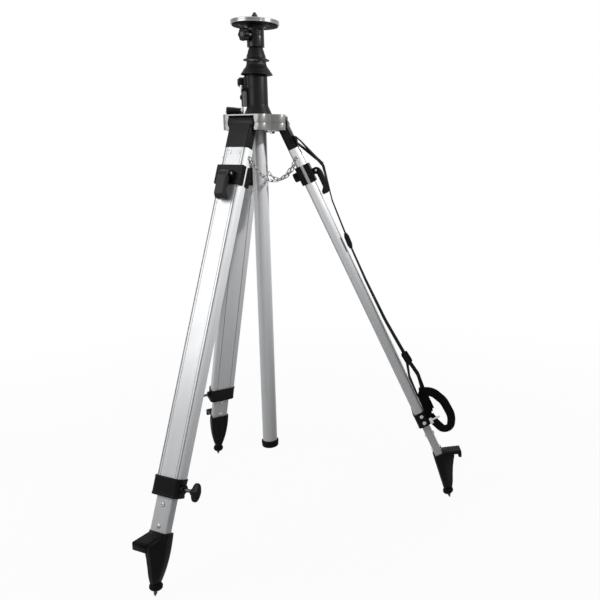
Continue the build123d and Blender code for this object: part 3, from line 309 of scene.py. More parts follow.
@dataclass(frozen=True)
class Place:
    """Where a local frame stands: its origin and, as rows, its three axes."""

    origin: Array
    axes: Array

    def __call__(self, points: Array) -> Array:
        """Points of the local frame in the outer frame."""
        return np.asarray(self.origin) + np.asarray(points) @ self.axes

    @staticmethod
    def facing(origin: Numbers, along: Numbers, hint: Numbers = UP) -> "Place":
        """Place whose Z axis points along a direction.

        Args:
            origin: where the local origin is.
            along: direction of the local Z axis.
            hint: direction near the local X axis, not parallel to along.

        Returns:
            The place.
        """
        z = unit(np.asarray(along, float))
        x = np.asarray(hint, float)
        x = unit(x - z * (x @ z))
        return Place(np.asarray(origin, float), np.stack([x, np.cross(z, x), z]))


@dataclass
class Surface:
    """A mesh as whole arrays: points, quads with their UV corners, and end caps."""

    points: Array
    quads: Array
    uv: Array
    caps: list[Array] = field(default_factory=list)

    @staticmethod
    def grid(points: Array, wrap_rows: bool = False, caps: bool = False) -> "Surface":
        """Surface over a grid whose columns close round a section and whose rows follow a path.

        Args:
            points: array of rows by columns by 3.
            wrap_rows: whether the last row joins the first.
            caps: whether the first and last rows are closed by a face.

        Returns:
            The surface, with UVs in millimetres round the section and along the path.
        """
        rows, cols = points.shape[:2]
        row, col = np.meshgrid(np.arange(rows if wrap_rows else rows - 1), np.arange(cols), indexing="ij")
        row = np.stack([row, row, row + 1, row + 1], -1).reshape(-1, 4)
        col = np.stack([col, col + 1, col + 1, col], -1).reshape(-1, 4)
        round_step = np.linalg.norm(np.roll(points, -1, axis=1) - points, axis=2).max(axis=0)
        path_step = np.linalg.norm(np.roll(points, -1, axis=0) - points, axis=2).max(axis=1)
        around = np.concatenate([[0.0], np.cumsum(round_step)])
        along = np.concatenate([[0.0], np.cumsum(path_step)])
        index = np.arange(rows * cols).reshape(rows, cols)
        ends = [index[0][::-1], index[-1]] if caps else []
        quads = index[row % rows, col % cols]
        return Surface(points.reshape(-1, 3), quads, np.stack([around[col], along[row]], -1), ends)

    def at(self, place: Place) -> "Surface":
        """This surface moved from a place's local frame to its outer frame."""
        return Surface(place(self.points), self.quads, self.uv, self.caps)

    def outward(self) -> "Surface":
        """This surface with its faces turned to point outwards.

        Returns:
            The same surface, or a copy with all faces reversed if it encloses a negative volume.
        """
        a, b, c, d = (self.points[self.quads[:, number]] for number in range(4))
        volume = np.einsum("ij,ij->", a, np.cross(b, c)) + np.einsum("ij,ij->", a, np.cross(c, d))
        for cap in self.caps:
            fan = self.points[cap]
            apex = np.broadcast_to(fan[0], fan[1:-1].shape)
            volume += np.einsum("ij,ij->", apex, np.cross(fan[1:-1], fan[2:]))
        if volume >= 0:
            return self
        return Surface(self.points, self.quads[:, ::-1], self.uv[:, ::-1], [cap[::-1] for cap in self.caps])


def moved(surfaces: Sequence[Surface], place: Place) -> list[Surface]:
    """Surfaces moved from a place's local frame to its outer frame."""
    return [surface.at(place) for surface in surfaces]


def merged(surfaces: Sequence[Surface]) -> tuple[Array, list[list[int]], Array]:
    """Points, faces and UV corners of several surfaces as one mesh.

    Coincident points of each surface become one, so seams and poles are closed; faces that shrink to an edge
    are dropped and faces that shrink to three corners become triangles.

    Args:
        surfaces: the surfaces, each already facing outwards.

    Returns:
        Points, faces as lists of point numbers, and one UV pair for each corner of each face.
    """
    points, faces, corners, offset = [], [], [], 0
    for surface in surfaces:
        unique, inverse = np.unique(np.round(surface.points, 5), axis=0, return_inverse=True)
        inverse = inverse.reshape(-1)
        quads = inverse[surface.quads]
        same = quads == np.roll(quads, -1, axis=1)
        crossed = (quads[:, 0] == quads[:, 2]) | (quads[:, 1] == quads[:, 3])
        for count in (0, 1):
            chosen = (same.sum(axis=1) == count) & ~crossed
            kept = ~same[chosen]
            faces += (quads[chosen][kept].reshape(-1, 4 - count) + offset).tolist()
            corners.append(surface.uv[chosen][kept].reshape(-1, 2))
        for cap in surface.caps:
            ring = inverse[cap]
            ring = ring[ring != np.roll(ring, -1)]
            faces.append((ring + offset).tolist())
            flat = np.argsort(np.ptp(unique[ring], axis=0))[1:]
            corners.append(unique[ring][:, np.sort(flat)])
        points.append(unique)
        offset += len(unique)
    return np.concatenate(points), faces, np.concatenate(corners)


def piece(name: str, surfaces: Sequence[Surface], finish: Finish, body: str, replaces: Sequence[str] = (),
          bevel: float = 0.0) -> bpy.types.Object:
    """Make one piece of the visual model and let it ride on a body.

    Args:
        name: name of the piece.
        surfaces: its surfaces, in millimetres.
        finish: its finish.
        body: body of the part that it moves with, or nothing to leave it on no body.
        replaces: nodes that it stands for.
        bevel: width of rounded edges, in millimetres.

    Returns:
        The new object.
    """
    points, faces, corners = merged([surface.outward() for surface in surfaces])
    mesh = bpy.data.meshes.new(name)
    mesh.from_pydata((points * METRE).tolist(), [], faces)
    mesh.uv_layers.new(name="UVMap").data.foreach_set("uv", corners.astype(np.float32).ravel())
    mesh.polygons.foreach_set("use_smooth", np.ones(len(faces), bool))
    mesh.materials.append(finish.material())
    thing = bpy.data.objects.new(name, mesh)
    bpy.context.collection.objects.link(thing)
    if bevel:
        soften(thing, bevel)
    else:
        mesh.set_sharp_from_angle(angle=SHARP_ANGLE)
    if body:
        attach(thing, body)
    if replaces:
        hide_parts(*replaces)
    LOG.info("%s: %d faces", name, len(faces))
    return thing


def soften(thing: bpy.types.Object, width: float) -> None:
    """Round an object's sharp edges.

    Args:
        thing: the object.
        width: width of the rounding, in millimetres.
    """
    rounding = thing.modifiers.new("edges", "BEVEL")
    rounding.width = width * METRE
    rounding.segments = 3
    rounding.limit_method = "ANGLE"
    rounding.angle_limit = BEVEL_ANGLE
    rounding.harden_normals = True


def dress(nodes: Sequence[str], finish: Finish, bevel: float = 0.0) -> None:
    """Give nodes of the part a finish and softened edges.

    Args:
        nodes: names of the nodes.
        finish: their finish.
        bevel: width of rounded edges, in millimetres.
    """
    for node in nodes:
        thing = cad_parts[node]
        thing.data.materials.clear()
        thing.data.materials.append(finish.material())
        if bevel:
            thing.modifiers.new("joined", "WELD").merge_threshold = WELD_GAP * METRE
            flat = thing.modifiers.new("flat", "DECIMATE")
            flat.decimate_type = "DISSOLVE"
            flat.angle_limit = FLAT_ANGLE
            soften(thing, bevel)
        LOG.info("%s: %s", node, finish.name)


def rounded(rows: Rows, steps: int = 5, closed: bool = True) -> Array:
    """Polyline with an arc at each corner.

    Each arc turns from the corner's first tangent point to its second, as a blend of the two spokes from its
    centre by the sine of the angle left and the angle gone.

    Args:
        rows: two coordinates and a radius for each corner; an arc that does not fit shrinks.
        steps: segments in each arc.
        closed: whether the last corner joins the first.

    Returns:
        Points along the line.
    """
    rows = np.asarray(rows, float)
    corner, radius = rows[:, :2], rows[:, 2].copy()
    if not closed:
        radius[[0, -1]] = 0.0
    back = np.roll(corner, 1, axis=0) - corner
    ahead = np.roll(corner, -1, axis=0) - corner
    room = ROOM_SHARE * np.minimum(np.linalg.norm(back, axis=1), np.linalg.norm(ahead, axis=1))
    back, ahead = unit(back), unit(ahead)
    half = 0.5 * np.arccos(np.clip((back * ahead).sum(axis=1), -1.0, 1.0))
    half = np.clip(half, LEAST_ANGLE, math.pi / 2 - LEAST_ANGLE)
    reach = np.minimum(radius / np.tan(half), room)
    radius = reach * np.tan(half)
    centre = corner + unit(back + ahead) * (radius / np.sin(half))[:, None]
    first = corner + back * reach[:, None] - centre
    last = corner + ahead * reach[:, None] - centre
    turn = (math.pi - 2 * half)[:, None, None]
    share = np.linspace(0.0, 1.0, steps + 1)[None, :, None]
    arc = (np.sin((1 - share) * turn) * first[:, None] + np.sin(share * turn) * last[:, None]) / np.sin(turn)
    return (centre[:, None] + arc).reshape(-1, 2)


def rectangle(width: float, depth: float, radius: float, steps: int = 5) -> Array:
    """Rounded rectangle about the origin: width along X and depth along Y."""
    x, y = width / 2, depth / 2
    return rounded([(x, -y, radius), (x, y, radius), (-x, y, radius), (-x, -y, radius)], steps)


def turned(profile: Array, segments: int = 72, closed: bool = False, wave: Wave | None = None) -> Surface:
    """Surface of revolution: each (radius, height) of a profile carried round the Z axis.

    Args:
        profile: array of (radius, height).
        segments: segments round the axis.
        closed: whether the profile's last point joins its first.
        wave: changes the radius, given angle, radius and height as arrays.

    Returns:
        The surface; its UV runs round the axis and along the profile.
    """
    profile = np.asarray(profile, float)
    angle = turns(segments)[None, :]
    radius = np.broadcast_to(profile[:, :1], (len(profile), segments))
    height = np.broadcast_to(profile[:, 1:], radius.shape)
    if wave:
        radius = wave(np.broadcast_to(angle, radius.shape), radius, height)
    points = np.stack([radius * np.cos(angle), radius * np.sin(angle), height], -1)
    return Surface.grid(points, wrap_rows=closed)


def spun(rows: Rows, segments: int, steps: int = 4, closed: bool = False,
         wave: Wave | None = None) -> Surface:
    """Surface of revolution over corners given as radius, height and rounding."""
    return turned(rounded(rows, steps, closed), segments, closed, wave)


def rod(radius: float, low: float, high: float, edges: Numbers, segments: int = 40,
        steps: int = 4) -> Surface:
    """Solid cylinder along Z, with a rounding at its lower and its upper edge."""
    rows = [(0, low, 0), (radius, low, edges[0]), (radius, high, edges[1]), (0, high, 0)]
    return spun(rows, segments, steps)


def loft(sections: Sequence[Array], caps: bool = True, closed: bool = False) -> Surface:
    """Surface through sections with equal numbers of points, point to point."""
    return Surface.grid(np.stack([np.asarray(section, float) for section in sections]), closed, caps)


def level(outline: Array, height: float) -> Array:
    """Flat outline in X and Y, raised to a height."""
    return np.column_stack([outline, np.full(len(outline), height)])


def upright(outline: Array, ends: Numbers) -> Surface:
    """Outline in X and Z, carried along Y from one end to the other."""
    return loft([np.insert(outline, 1, y, axis=1) for y in ends])


def sleeve(outside: Array, inside: Array, high: float, low: float, rows: int = 40) -> Surface:
    """Hollow extrusion: an outline carried down, round the end and back up inside, in short rows.

    Args:
        outside: outer outline.
        inside: outline of the hollow, with as many points.
        high: upper end.
        low: lower end.
        rows: rows along its length.

    Returns:
        The surface.
    """
    heights = np.linspace(high, low, rows + 1)
    down = [level(outside, height) for height in heights]
    return loft(down + [level(inside, height) for height in heights[::-1]], False, True)


def block(low: Numbers, high: Numbers, radius: float, steps: int = 4) -> Surface:
    """Box with round edges: each point of a small sphere is pushed out to the box's corner on its side.

    Args:
        low: lowest corner.
        high: highest corner.
        radius: radius of the edges.
        steps: segments in a quarter turn.

    Returns:
        The surface.
    """
    quarter = np.linspace(0.0, math.pi / 2, steps + 1)
    turn = np.concatenate([quarter + number * math.pi / 2 for number in range(4)])[None, :]
    rise = np.concatenate([quarter - math.pi / 2, quarter])[:, None]
    ball = [np.cos(rise) * np.cos(turn), np.cos(rise) * np.sin(turn), np.sin(rise)]
    count = steps + 1
    side = [
        np.repeat([1.0, -1.0, -1.0, 1.0], count)[None, :], np.repeat([1.0, 1.0, -1.0, -1.0], count)[None, :],
        np.repeat([-1.0, 1.0], count)[:, None],
    ]
    ball, side = (np.stack(np.broadcast_arrays(*part), -1) for part in (ball, side))
    low, high = np.asarray(low, float), np.asarray(high, float)
    return Surface.grid((low + high) / 2 + side * ((high - low) / 2 - radius) + radius * ball, caps=True)


def tube(path: Array, radius: float, square: Numbers, sides: int = 10, closed: bool = False) -> Surface:
    """Round wire: a circle carried along a flat path.

    Args:
        path: points of the wire's middle line.
        radius: radius of the wire.
        square: direction square to the path's plane.
        sides: sides of the circle.
        closed: whether the path closes on itself.

    Returns:
        The surface, capped if it is open.
    """
    if closed:
        along = unit(np.roll(path, -1, axis=0) - np.roll(path, 1, axis=0))
    else:
        along = unit(np.gradient(path, axis=0))
    normal = unit(np.broadcast_to(np.asarray(square, float), path.shape))
    across = unit(np.cross(along, normal))
    turn = turns(sides)[None, :, None]
    ring = np.cos(turn) * across[:, None] + np.sin(turn) * normal[:, None]
    return Surface.grid(path[:, None] + radius * ring, closed, not closed)


def screw_head(radius: float, height: float) -> Surface:
    """Domed screw head with a cross recess, standing on the local origin and facing up Z.

    The dome's height falls with the root of the cosine towards its rim; where a point lies near either arm of
    the cross and inside its reach, the height drops by the recess depth.

    Args:
        radius: radius of the head.
        height: height of the dome.

    Returns:
        The surface.
    """
    rings, sides = 15, 40
    arm_half, arm_reach, blur, recess = 0.2 * radius, 0.68 * radius, 0.1 * radius, 0.55 * height
    swing = np.linspace(0.0, math.pi / 2, rings)[:, None]
    angle = turns(sides)[None, :]
    x = radius * np.sin(swing) * np.cos(angle)
    y = radius * np.sin(swing) * np.sin(angle)
    arm = ramp(arm_half - np.minimum(np.abs(x), np.abs(y)), blur) * ramp(arm_reach - np.hypot(x, y), blur)
    z = height * np.sqrt(np.maximum(np.cos(swing), 0.0)) * np.ones_like(angle) - recess * arm
    dome = np.stack([x, y, z], -1)
    return Surface.grid(np.concatenate([dome, np.zeros((1, sides, 3))]))


def screws(size: Numbers, seats: Rows, along: Numbers, hint: Numbers = UP) -> list[Surface]:
    """Screw heads of one size on seats, all facing along one direction."""
    return [screw_head(*size).at(Place.facing(seat, along, hint)) for seat in seats]


def hexagon(flats: float, height: float, bore: float = 0.0) -> Surface:
    """Chamfered hexagon head or nut on the local origin, facing up Z.

    Args:
        flats: width across the flats.
        height: height of the head.
        bore: radius of the hole through it, if it has one.

    Returns:
        The surface: a turned profile whose radius is held inside the hexagon.
    """
    inner = flats / 2
    corner = inner / math.cos(math.pi / 6)

    def flat_sides(angle: Array, radius: Array, _: Array) -> Array:
        """Radius held inside the hexagon."""
        swing = (angle + math.pi / 6) % (math.pi / 3) - math.pi / 6
        return np.minimum(radius, inner / np.cos(swing))

    face_share, chamfer_slope = 0.95, 0.55
    face = face_share * inner
    drop = (corner - face) * chamfer_slope
    profile = [(bore, 0), (face, 0), (corner, drop), (corner, height - drop), (face, height), (bore, height)]
    return turned(np.array(profile), 72, bool(bore), flat_sides)


def polar(radius: float, azimuth: float, height: float) -> Array:
    """Point at a radius, azimuth in degrees and height."""
    turn = math.radians(azimuth)
    return np.array([radius * math.cos(turn), radius * math.sin(turn), height])


def along_line(line: Array, wanted: Array, values: Array) -> Array:
    """Rows of values given at a line's points, read off at wanted distances along the line."""
    gone = np.concatenate([[0.0], np.cumsum(np.linalg.norm(np.diff(line, axis=0), axis=1))])
    return np.column_stack([np.interp(wanted, gone, column) for column in values.T])


@dataclass
class Head:
    """Turned head plate with its instrument stud and the screws under it."""

    radius: float = 59.0
    thickness: float = 10.0
    bore: float = 9.05
    stud_radius: float = 7.9375
    stud_height: float = 20.0
    stud_tip: float = 4.6
    stud_taper: float = 8.0
    shank: float = 9.0
    thread_pitch: float = 2.309
    thread_depth: float = 1.1
    thread_margin: float = 0.6
    thread_fade: Pair = (1.2, 1.5)
    screw_circle: float = 38.0
    screw_turns: Triple = (330.0, 90.0, 210.0)
    screw_size: Pair = (4.5, 2.5)
    flange: float = 3.0

    def stud(self) -> Surface:
        """Threaded stud: the radius follows a triangle wave of height less the turn, fading out at both ends.

        Returns:
            The surface.
        """
        tip, margin, (fade_in, fade_out) = self.stud_height, self.thread_margin, self.thread_fade
        rows = np.concatenate([[-self.thickness, 0.0], np.linspace(0.01, tip, 150)])
        radius = np.interp(rows, [0.0, tip - self.stud_taper, tip],
                           [self.stud_radius, self.stud_radius, self.stud_radius - self.stud_tip])
        radius[:2] = self.shank
        profile = np.column_stack([radius, rows])
        profile = np.concatenate([[[0.0, -self.thickness]], profile, [[0.0, tip]]])

        def thread(angle: Array, reach: Array, height: Array) -> Array:
            """Radius with the thread's grooves cut in."""
            fade = self.thread_depth * ramp(height - margin, fade_in) * ramp(tip - margin - height, fade_out)
            return reach - fade * np.abs(2 * ((height / self.thread_pitch - angle / (2 * math.pi)) % 1.0) - 1)

        return turned(profile, 72, wave=thread)

    def build(self) -> None:
        """Make the plate, with a shallow groove in its face and its rim, the stud and the screws."""
        r, t, b = self.radius, self.thickness, self.bore
        plate = [
            (b, 0, 0.3), (47, 0, 0.2), (47.4, -0.7, 0.2), (49.6, -0.7, 0.2), (50, 0, 0.2), (r, 0, 1.4),
            (r, -3.6, 0.4), (r - 0.9, -4.2, 0.3), (r - 0.9, -5.4, 0.3), (r, -6.0, 0.4), (r, -t, 1.4),
            (b, -t, 0.3),
        ]
        piece("plate", [spun(plate, 144, closed=True)], TURNED_METAL, "column", ["head_plate"])
        piece("stud", [self.stud()], DARK_STEEL, "column", ["head_stud"])
        seats = [polar(self.screw_circle, azimuth, -t - self.flange) for azimuth in self.screw_turns]
        heads = screws(self.screw_size, seats, -UP, OUT)
        piece("plate_screw_heads", heads, DARK_STEEL, "column", ["plate_screws"])


@dataclass
class Neck:
    """Gloss black neck under the plate, with its lock knob."""

    flange_radius: float = 56.0
    radius: float = 21.2
    top: float = -10.0
    flange: float = 3.0
    bottom: float = -63.0
    seam: float = -36.0
    azimuth: float = 225.0
    boss_radius: float = 9.5
    boss_end: float = 27.2
    knob_radius: float = 16.0
    knob_depth: float = 15.0
    lobes: int = 6
    lobe_depth: float = 2.75

    def knob(self) -> Surface:
        """Lobed knob: the radius dips between lobes by a power of the cosine of the turn.

        Returns:
            The surface, facing up its own Z axis.
        """
        r, depth = self.knob_radius, self.knob_depth
        rows = [
            (0, 0, 0), (r - 2.5, 0, 2.0), (r, 3.5, 3.0), (r, depth - 1, 3.5), (r - 5.5, depth, 1.2),
            (r - 7, depth - 1.2, 1.0), (0, depth - 1.2, 0),
        ]

        def lobed(angle: Array, radius: Array, _: Array) -> Array:
            """Radius with scallops between the lobes."""
            return radius - self.lobe_depth * swell(angle, self.lobes) ** 1.5 * ramp(radius, r) ** 3

        return spun(rows, 144, 5, wave=lobed)

    def build(self) -> None:
        """Make the neck with a soft root and a seam line, its flange and boss, and the knob."""
        out = polar(1.0, self.azimuth, 0.0)
        r, low, seam = self.radius, self.top - self.flange, self.seam
        stem = [
            (0, low + 1, 0), (r + 5, low + 1, 0), (r + 5, low - 0.3, 0.5), (r, low - 5, 5.0),
            (r, seam + 0.6, 0.2), (r - 0.7, seam, 0.1), (r, seam - 0.6, 0.2), (r, self.bottom, 1.2),
            (0, self.bottom, 0),
        ]
        boss = rod(self.boss_radius, 12, self.boss_end, (0, 1.2), 48).at(Place.facing((0, 0, seam), out))
        piece("neck_stem", [spun(stem, 96, 5), boss], GLOSS_BLACK, "column", ["neck"])
        flange = rod(self.flange_radius, low, self.top, (0.8, 0.8), 96)
        piece("neck_flange", [flange], MATT_BLACK, "column")
        seat = Place.facing(out * (self.boss_end + 0.3) + (0, 0, seam), out)
        piece("neck_knob_grip", [self.knob().at(seat)], BLACK_PLASTIC, "neck_knob", ["neck_knob"])
        piece("neck_knob_insert", [rod(6.5, 11, 14.4, (0, 0.8)).at(seat)], DARK_STEEL, "neck_knob")


@dataclass
class Column:
    """Elevating tube with its collar at the top and its cap at the bottom."""

    radius: float = 19.05
    wall: float = 2.5
    top: float = -75.5
    slot: float = 10.0
    slot_top: float = -130.9
    slot_bottom: float = -809.4
    collar_top: float = -63.0
    collar_bottom: float = -94.5
    cap_radius: float = 22.5
    cap_bottom: float = -1109.5
    cap_height: float = 19.0
    cap_floor: float = 12.0

    def ring(self, high: float, low: float) -> Surface:
        """Plain length of the tube."""
        ring = circle(turns(96))
        return sleeve(self.radius * ring, (self.radius - self.wall) * ring, high, low, 12)

    def slotted(self) -> Surface:
        """Length of the tube with the rack's slot down its back.

        Returns:
            The surface: a slit ring carried along Z.
        """
        half = math.asin(self.slot / 2 / self.radius)
        arc = circle(np.linspace(math.pi / 2 + half, math.pi * 5 / 2 - half, 91))
        outline = np.concatenate([self.radius * arc, (self.radius - self.wall) * arc[::-1]])
        return loft([level(outline, height) for height in np.linspace(self.slot_bottom, self.slot_top, 36)])

    def build(self) -> None:
        """Make the tube, its stepped collar with a thin skirt and its cap with a lip, and finish the rack."""
        upper = self.ring(self.top, self.slot_top)
        lower = self.ring(self.slot_bottom, self.cap_bottom + self.cap_floor)
        piece("tube", [upper, self.slotted(), lower], DULL_ANODISED, "column", ["column_tube"])
        top, low = self.collar_top, self.collar_bottom
        collar = [
            (13, top, 0.3), (16.5, top, 1.2), (18.2, top - 6, 0.4), (18.9, top - 6.4, 0.4),
            (21.5, top - 17, 0.4), (22.4, top - 17.4, 0.4), (24.0, low + 5.5, 2.5), (32, low + 2.0, 0.6),
            (32, low, 0.5), (30.2, low, 0.4), (21.5, low + 3.5, 1.5), (19.1, low + 3.5, 0.2),
            (13, low + 12, 0),
        ]
        piece("collar", [spun(collar, 96, closed=True)], BLACK_PLASTIC, "column", ["top_collar"])
        r, low = self.cap_radius, self.cap_bottom
        high = low + self.cap_height
        cap = [
            (self.radius - self.wall, high + 2, 0), (self.radius + 0.2, high, 0.2), (r, high - 0.5, 1.6),
            (r, high - 7.5, 0.4), (r - 0.6, high - 8.3, 0.4), (r - 0.6, low, 6.0), (0, low, 0),
        ]
        piece("cap", [spun(cap, 96, 5)], RUBBER, "column", ["end_cap"])
        dress(["rack"], DARK_STEEL)


@dataclass
class LockRing:
    """Turning ring that locks the column, with grip ribs on its cone."""

    top: float = -96.0
    bottom: float = -129.0
    ribs: int = 30
    rib_depth: float = 0.7
    rib_start: float = 3.0
    rib_end: float = 19.5
    rib_fade: float = 1.5
    rib_radius: float = 23.6

    def build(self) -> None:
        """Make the ring."""
        top, low, fade = self.top, self.bottom, self.rib_fade
        rows = [
            (19.5, top, 0.3), (23.5, top, 1.4), (24.6, top - 9, 4.0), (27.0, top - 14, 6.0),
            (32.5, top - 21, 1.0), (33.5, top - 23.5, 1.2), (39, low + 2.2, 0.8), (39, low, 0.6),
            (37.2, low, 0.4), (29, low + 4.5, 1.0), (23.1, low + 4.5, 0.2), (23.1, low + 12.9, 0.2),
            (19.5, low + 12.9, 0.2),
        ]

        def ribbed(angle: Array, radius: Array, height: Array) -> Array:
            """Radius with grip ribs round the cone's middle."""
            on_cone = ramp(top - self.rib_start - height, fade) * ramp(height - top + self.rib_end, fade)
            return radius - self.rib_depth * swell(angle, self.ribs) * on_cone * (radius > self.rib_radius)

        profile = rounded(rows, 3)
        step = np.roll(profile, -1, axis=0) - profile
        quarters = np.linspace(0, 1, 4, endpoint=False)[None, :, None]
        profile = (profile[:, None] + step[:, None] * quarters).reshape(-1, 2)
        ring = turned(profile, 180, True, ribbed)
        piece("lock_ring_grip", [ring], BLACK_PLASTIC, "lock_ring", ["lock_ring"])


@dataclass
class Housing:
    """Column housing with a flared base, a gear case behind it and the crank's bearing."""

    radius: float = 25.5
    bore: float = 20.0
    top: float = -129.3
    spigot_top: float = -116.0
    spigot: float = 23.0
    base_top: float = -203.0
    bottom: float = -227.0
    base_radius: float = 34.3
    crank_y: float = 26.1
    crank_z: float = -145.0
    case: tuple[Numbers, Numbers, float] = ((-33, 2, -200), (16, 40, -130), 4.5)
    web_bottom: float = -206.0
    web_back: float = 6.0
    web: tuple[float, ...] = (-37.5, -21.0, -160.0, -15.0)
    panel: tuple[float, ...] = (-35.0, -25.0, -169.0, -15.6)

    def arch(self, left: float, right: float, high: float, front: float) -> Surface:
        """Upright web with a round top, carried from its front face back into the housing.

        Args:
            left: lowest x.
            right: highest x.
            high: height of its crown.
            front: y of its front face.

        Returns:
            The surface.
        """
        crown = (right - left) / 2
        foot = self.web_bottom
        rows = [(left, foot, 1.0), (right, foot, 1.0), (right, high, crown), (left, high, crown)]
        return upright(rounded(rows, 9), (front, self.web_back))

    def build(self) -> None:
        """Make the housing, the gear case and the bearing, and finish the parts inside."""
        wide, low = self.base_radius, self.bottom
        shell = [
            (self.bore, self.spigot_top, 0.3), (self.spigot, self.spigot_top, 0.5),
            (self.spigot, self.top, 0.2), (self.radius, self.top, 0.8), (self.radius, self.base_top, 9.0),
            (wide, low + 3, 1.5), (wide, low, 0.6), (self.bore, low, 0.3),
        ]
        surfaces = [spun(shell, 96, 6, True), block(*self.case)]
        piece("housing", surfaces, CHARCOAL, "head", ["column_housing"])
        piece("housing_web", [self.arch(*self.web)], CAST_BLACK, "head", bevel=1.4)
        piece("housing_web_panel", [self.arch(*self.panel)], PANEL_GREY, "head", bevel=0.8)
        bearing = [
            (6.05, 15, 0), (11, 15, 0), (11, 33, 0), (14, 33, 0.8), (14, 37, 1.0), (11, 37, 0.4),
            (10.4, 36.2, 0.3), (6.05, 36.2, 0.2),
        ]
        axis = Place.facing((0, self.crank_y, self.crank_z), -OUT)
        piece("bearing", [spun(bearing, 60, closed=True).at(axis)], CAST_BLACK, "head", ["crank_bearing"])
        dress(["column_bushings"], BRONZE)
        dress(["pinion_shaft"], DARK_STEEL)


@dataclass
class Crank:
    """Crank on the pinion's shaft, with its turning grip."""

    y: float = 26.1
    z: float = -145.0
    throw: float = 70.0
    inner: float = 39.0
    thickness: float = 6.0
    hub: float = 11.0
    end: float = 7.5
    edge: float = 1.0
    cuff_low: float = -188.0
    cuff_high: float = -176.0
    cuff_half: float = 9.6
    cuff_wall: float = 0.9
    grip_start: float = 45.3
    grip_length: float = 36.0

    def arm(self) -> Surface:
        """Flat bar round two bosses: the outline is the hull of a circle at each end.

        Returns:
            The surface, in a frame with Z out along the shaft and X up.
        """
        tilt = math.asin((self.hub - self.end) / self.throw)
        upper = circle(np.linspace(-math.pi / 2 - tilt, math.pi / 2 + tilt, 25))
        lower = circle(np.linspace(math.pi / 2 + tilt, 3 * math.pi / 2 - tilt, 21))

        def outline(inset: float) -> Array:
            """Hull shrunk by an inset."""
            return np.concatenate([(self.hub - inset) * upper, (self.end - inset) * lower - (self.throw, 0)])

        turn, edge, out = np.linspace(0, math.pi / 2, 4), self.edge, self.inner + self.thickness
        lows = [(edge - edge * math.sin(a), self.inner + edge - edge * math.cos(a)) for a in turn]
        highs = [(edge - edge * math.cos(a), out - edge + edge * math.sin(a)) for a in turn]
        return loft([level(outline(inset), height) for inset, height in lows + highs])

    def build(self) -> None:
        """Make the arm, its sleeve and nut, the pin and the tapered grip."""
        shaft, low = Place.facing((0, self.y, self.z), -OUT), self.z - self.throw
        inner, out, wall, half = self.inner, self.inner + self.thickness, self.cuff_wall, self.cuff_half
        piece("crank_bar", [self.arm().at(shaft)], ZINC, "crank", ["crank_arm"])
        cuff_end = (wall - inner, self.y + half, self.cuff_high)
        cuff = block((-out - wall, self.y - half, self.cuff_low), cuff_end, 1.6)
        cap = rod(13.0, 38.4, 47.5, (1.0, 2.0), 56)
        piece("crank_sleeve", [cuff, cap.at(shaft)], BLACK_PLASTIC, "crank")
        nut = hexagon(18.0, 6.0, 6.0).at(Place.facing((-out, self.y, self.z), -OUT))
        end = rod(5.8, out, 50.0, (0, 0.8)).at(shaft)
        piece("crank_nut", [nut, end], DARK_STEEL, "crank", ["crank_hardware"])
        stem = [(0, inner, 0), (3, inner, 0), (3, 81.4, 0), (7.2, 81.6, 0), (7.2, 84.1, 1.4), (0, 84.1, 0)]
        piece("crank_pin", [spun(stem, 40).at(Place.facing((0, self.y, low), -OUT))], ZINC, "crank")
        length = self.grip_length
        grip = [
            (3.05, 0, 0), (8.0, 0, 0.8), (8.0, 3, 0.4), (7.4, 3.6, 0.4), (9.4, length * 0.55, 12.0),
            (10.4, length - 3, 2.0), (10.4, length, 2.2), (3.05, length, 0),
        ]
        seat = Place.facing((-self.grip_start, self.y, low), -OUT)
        piece("crank_handle", [spun(grip, 60, 5, True).at(seat)], GLOSS_BLACK, "grip", ["crank_grip"])


@dataclass
class Spider:
    """Cast spider in two halves that hold the leg hinges, with its bolts."""

    bolt_circle: float = 57.0
    bolt_turns: Triple = (60.0, 180.0, 300.0)
    bolt_size: Pair = (13.0, 6.0)
    washer_radius: float = 8.0
    washer_height: float = 1.4
    bottom: float = -265.0

    def build(self) -> None:
        """Finish the halves and make the bolt heads with their washers."""
        dress(["spider_upper", "spider_lower"], CAST_GREY, 2.2)
        heads, washer = [], rod(self.washer_radius, 0, self.washer_height, (0, 0.5), 40, 3)
        for azimuth in self.bolt_turns:
            seat = Place.facing(polar(self.bolt_circle, azimuth, self.bottom), -UP, polar(1, azimuth, 0))
            heads += [hexagon(*self.bolt_size).at(seat), washer.at(seat)]
        piece("spider_bolt_heads", heads, ZINC, "head", ["spider_bolts"])


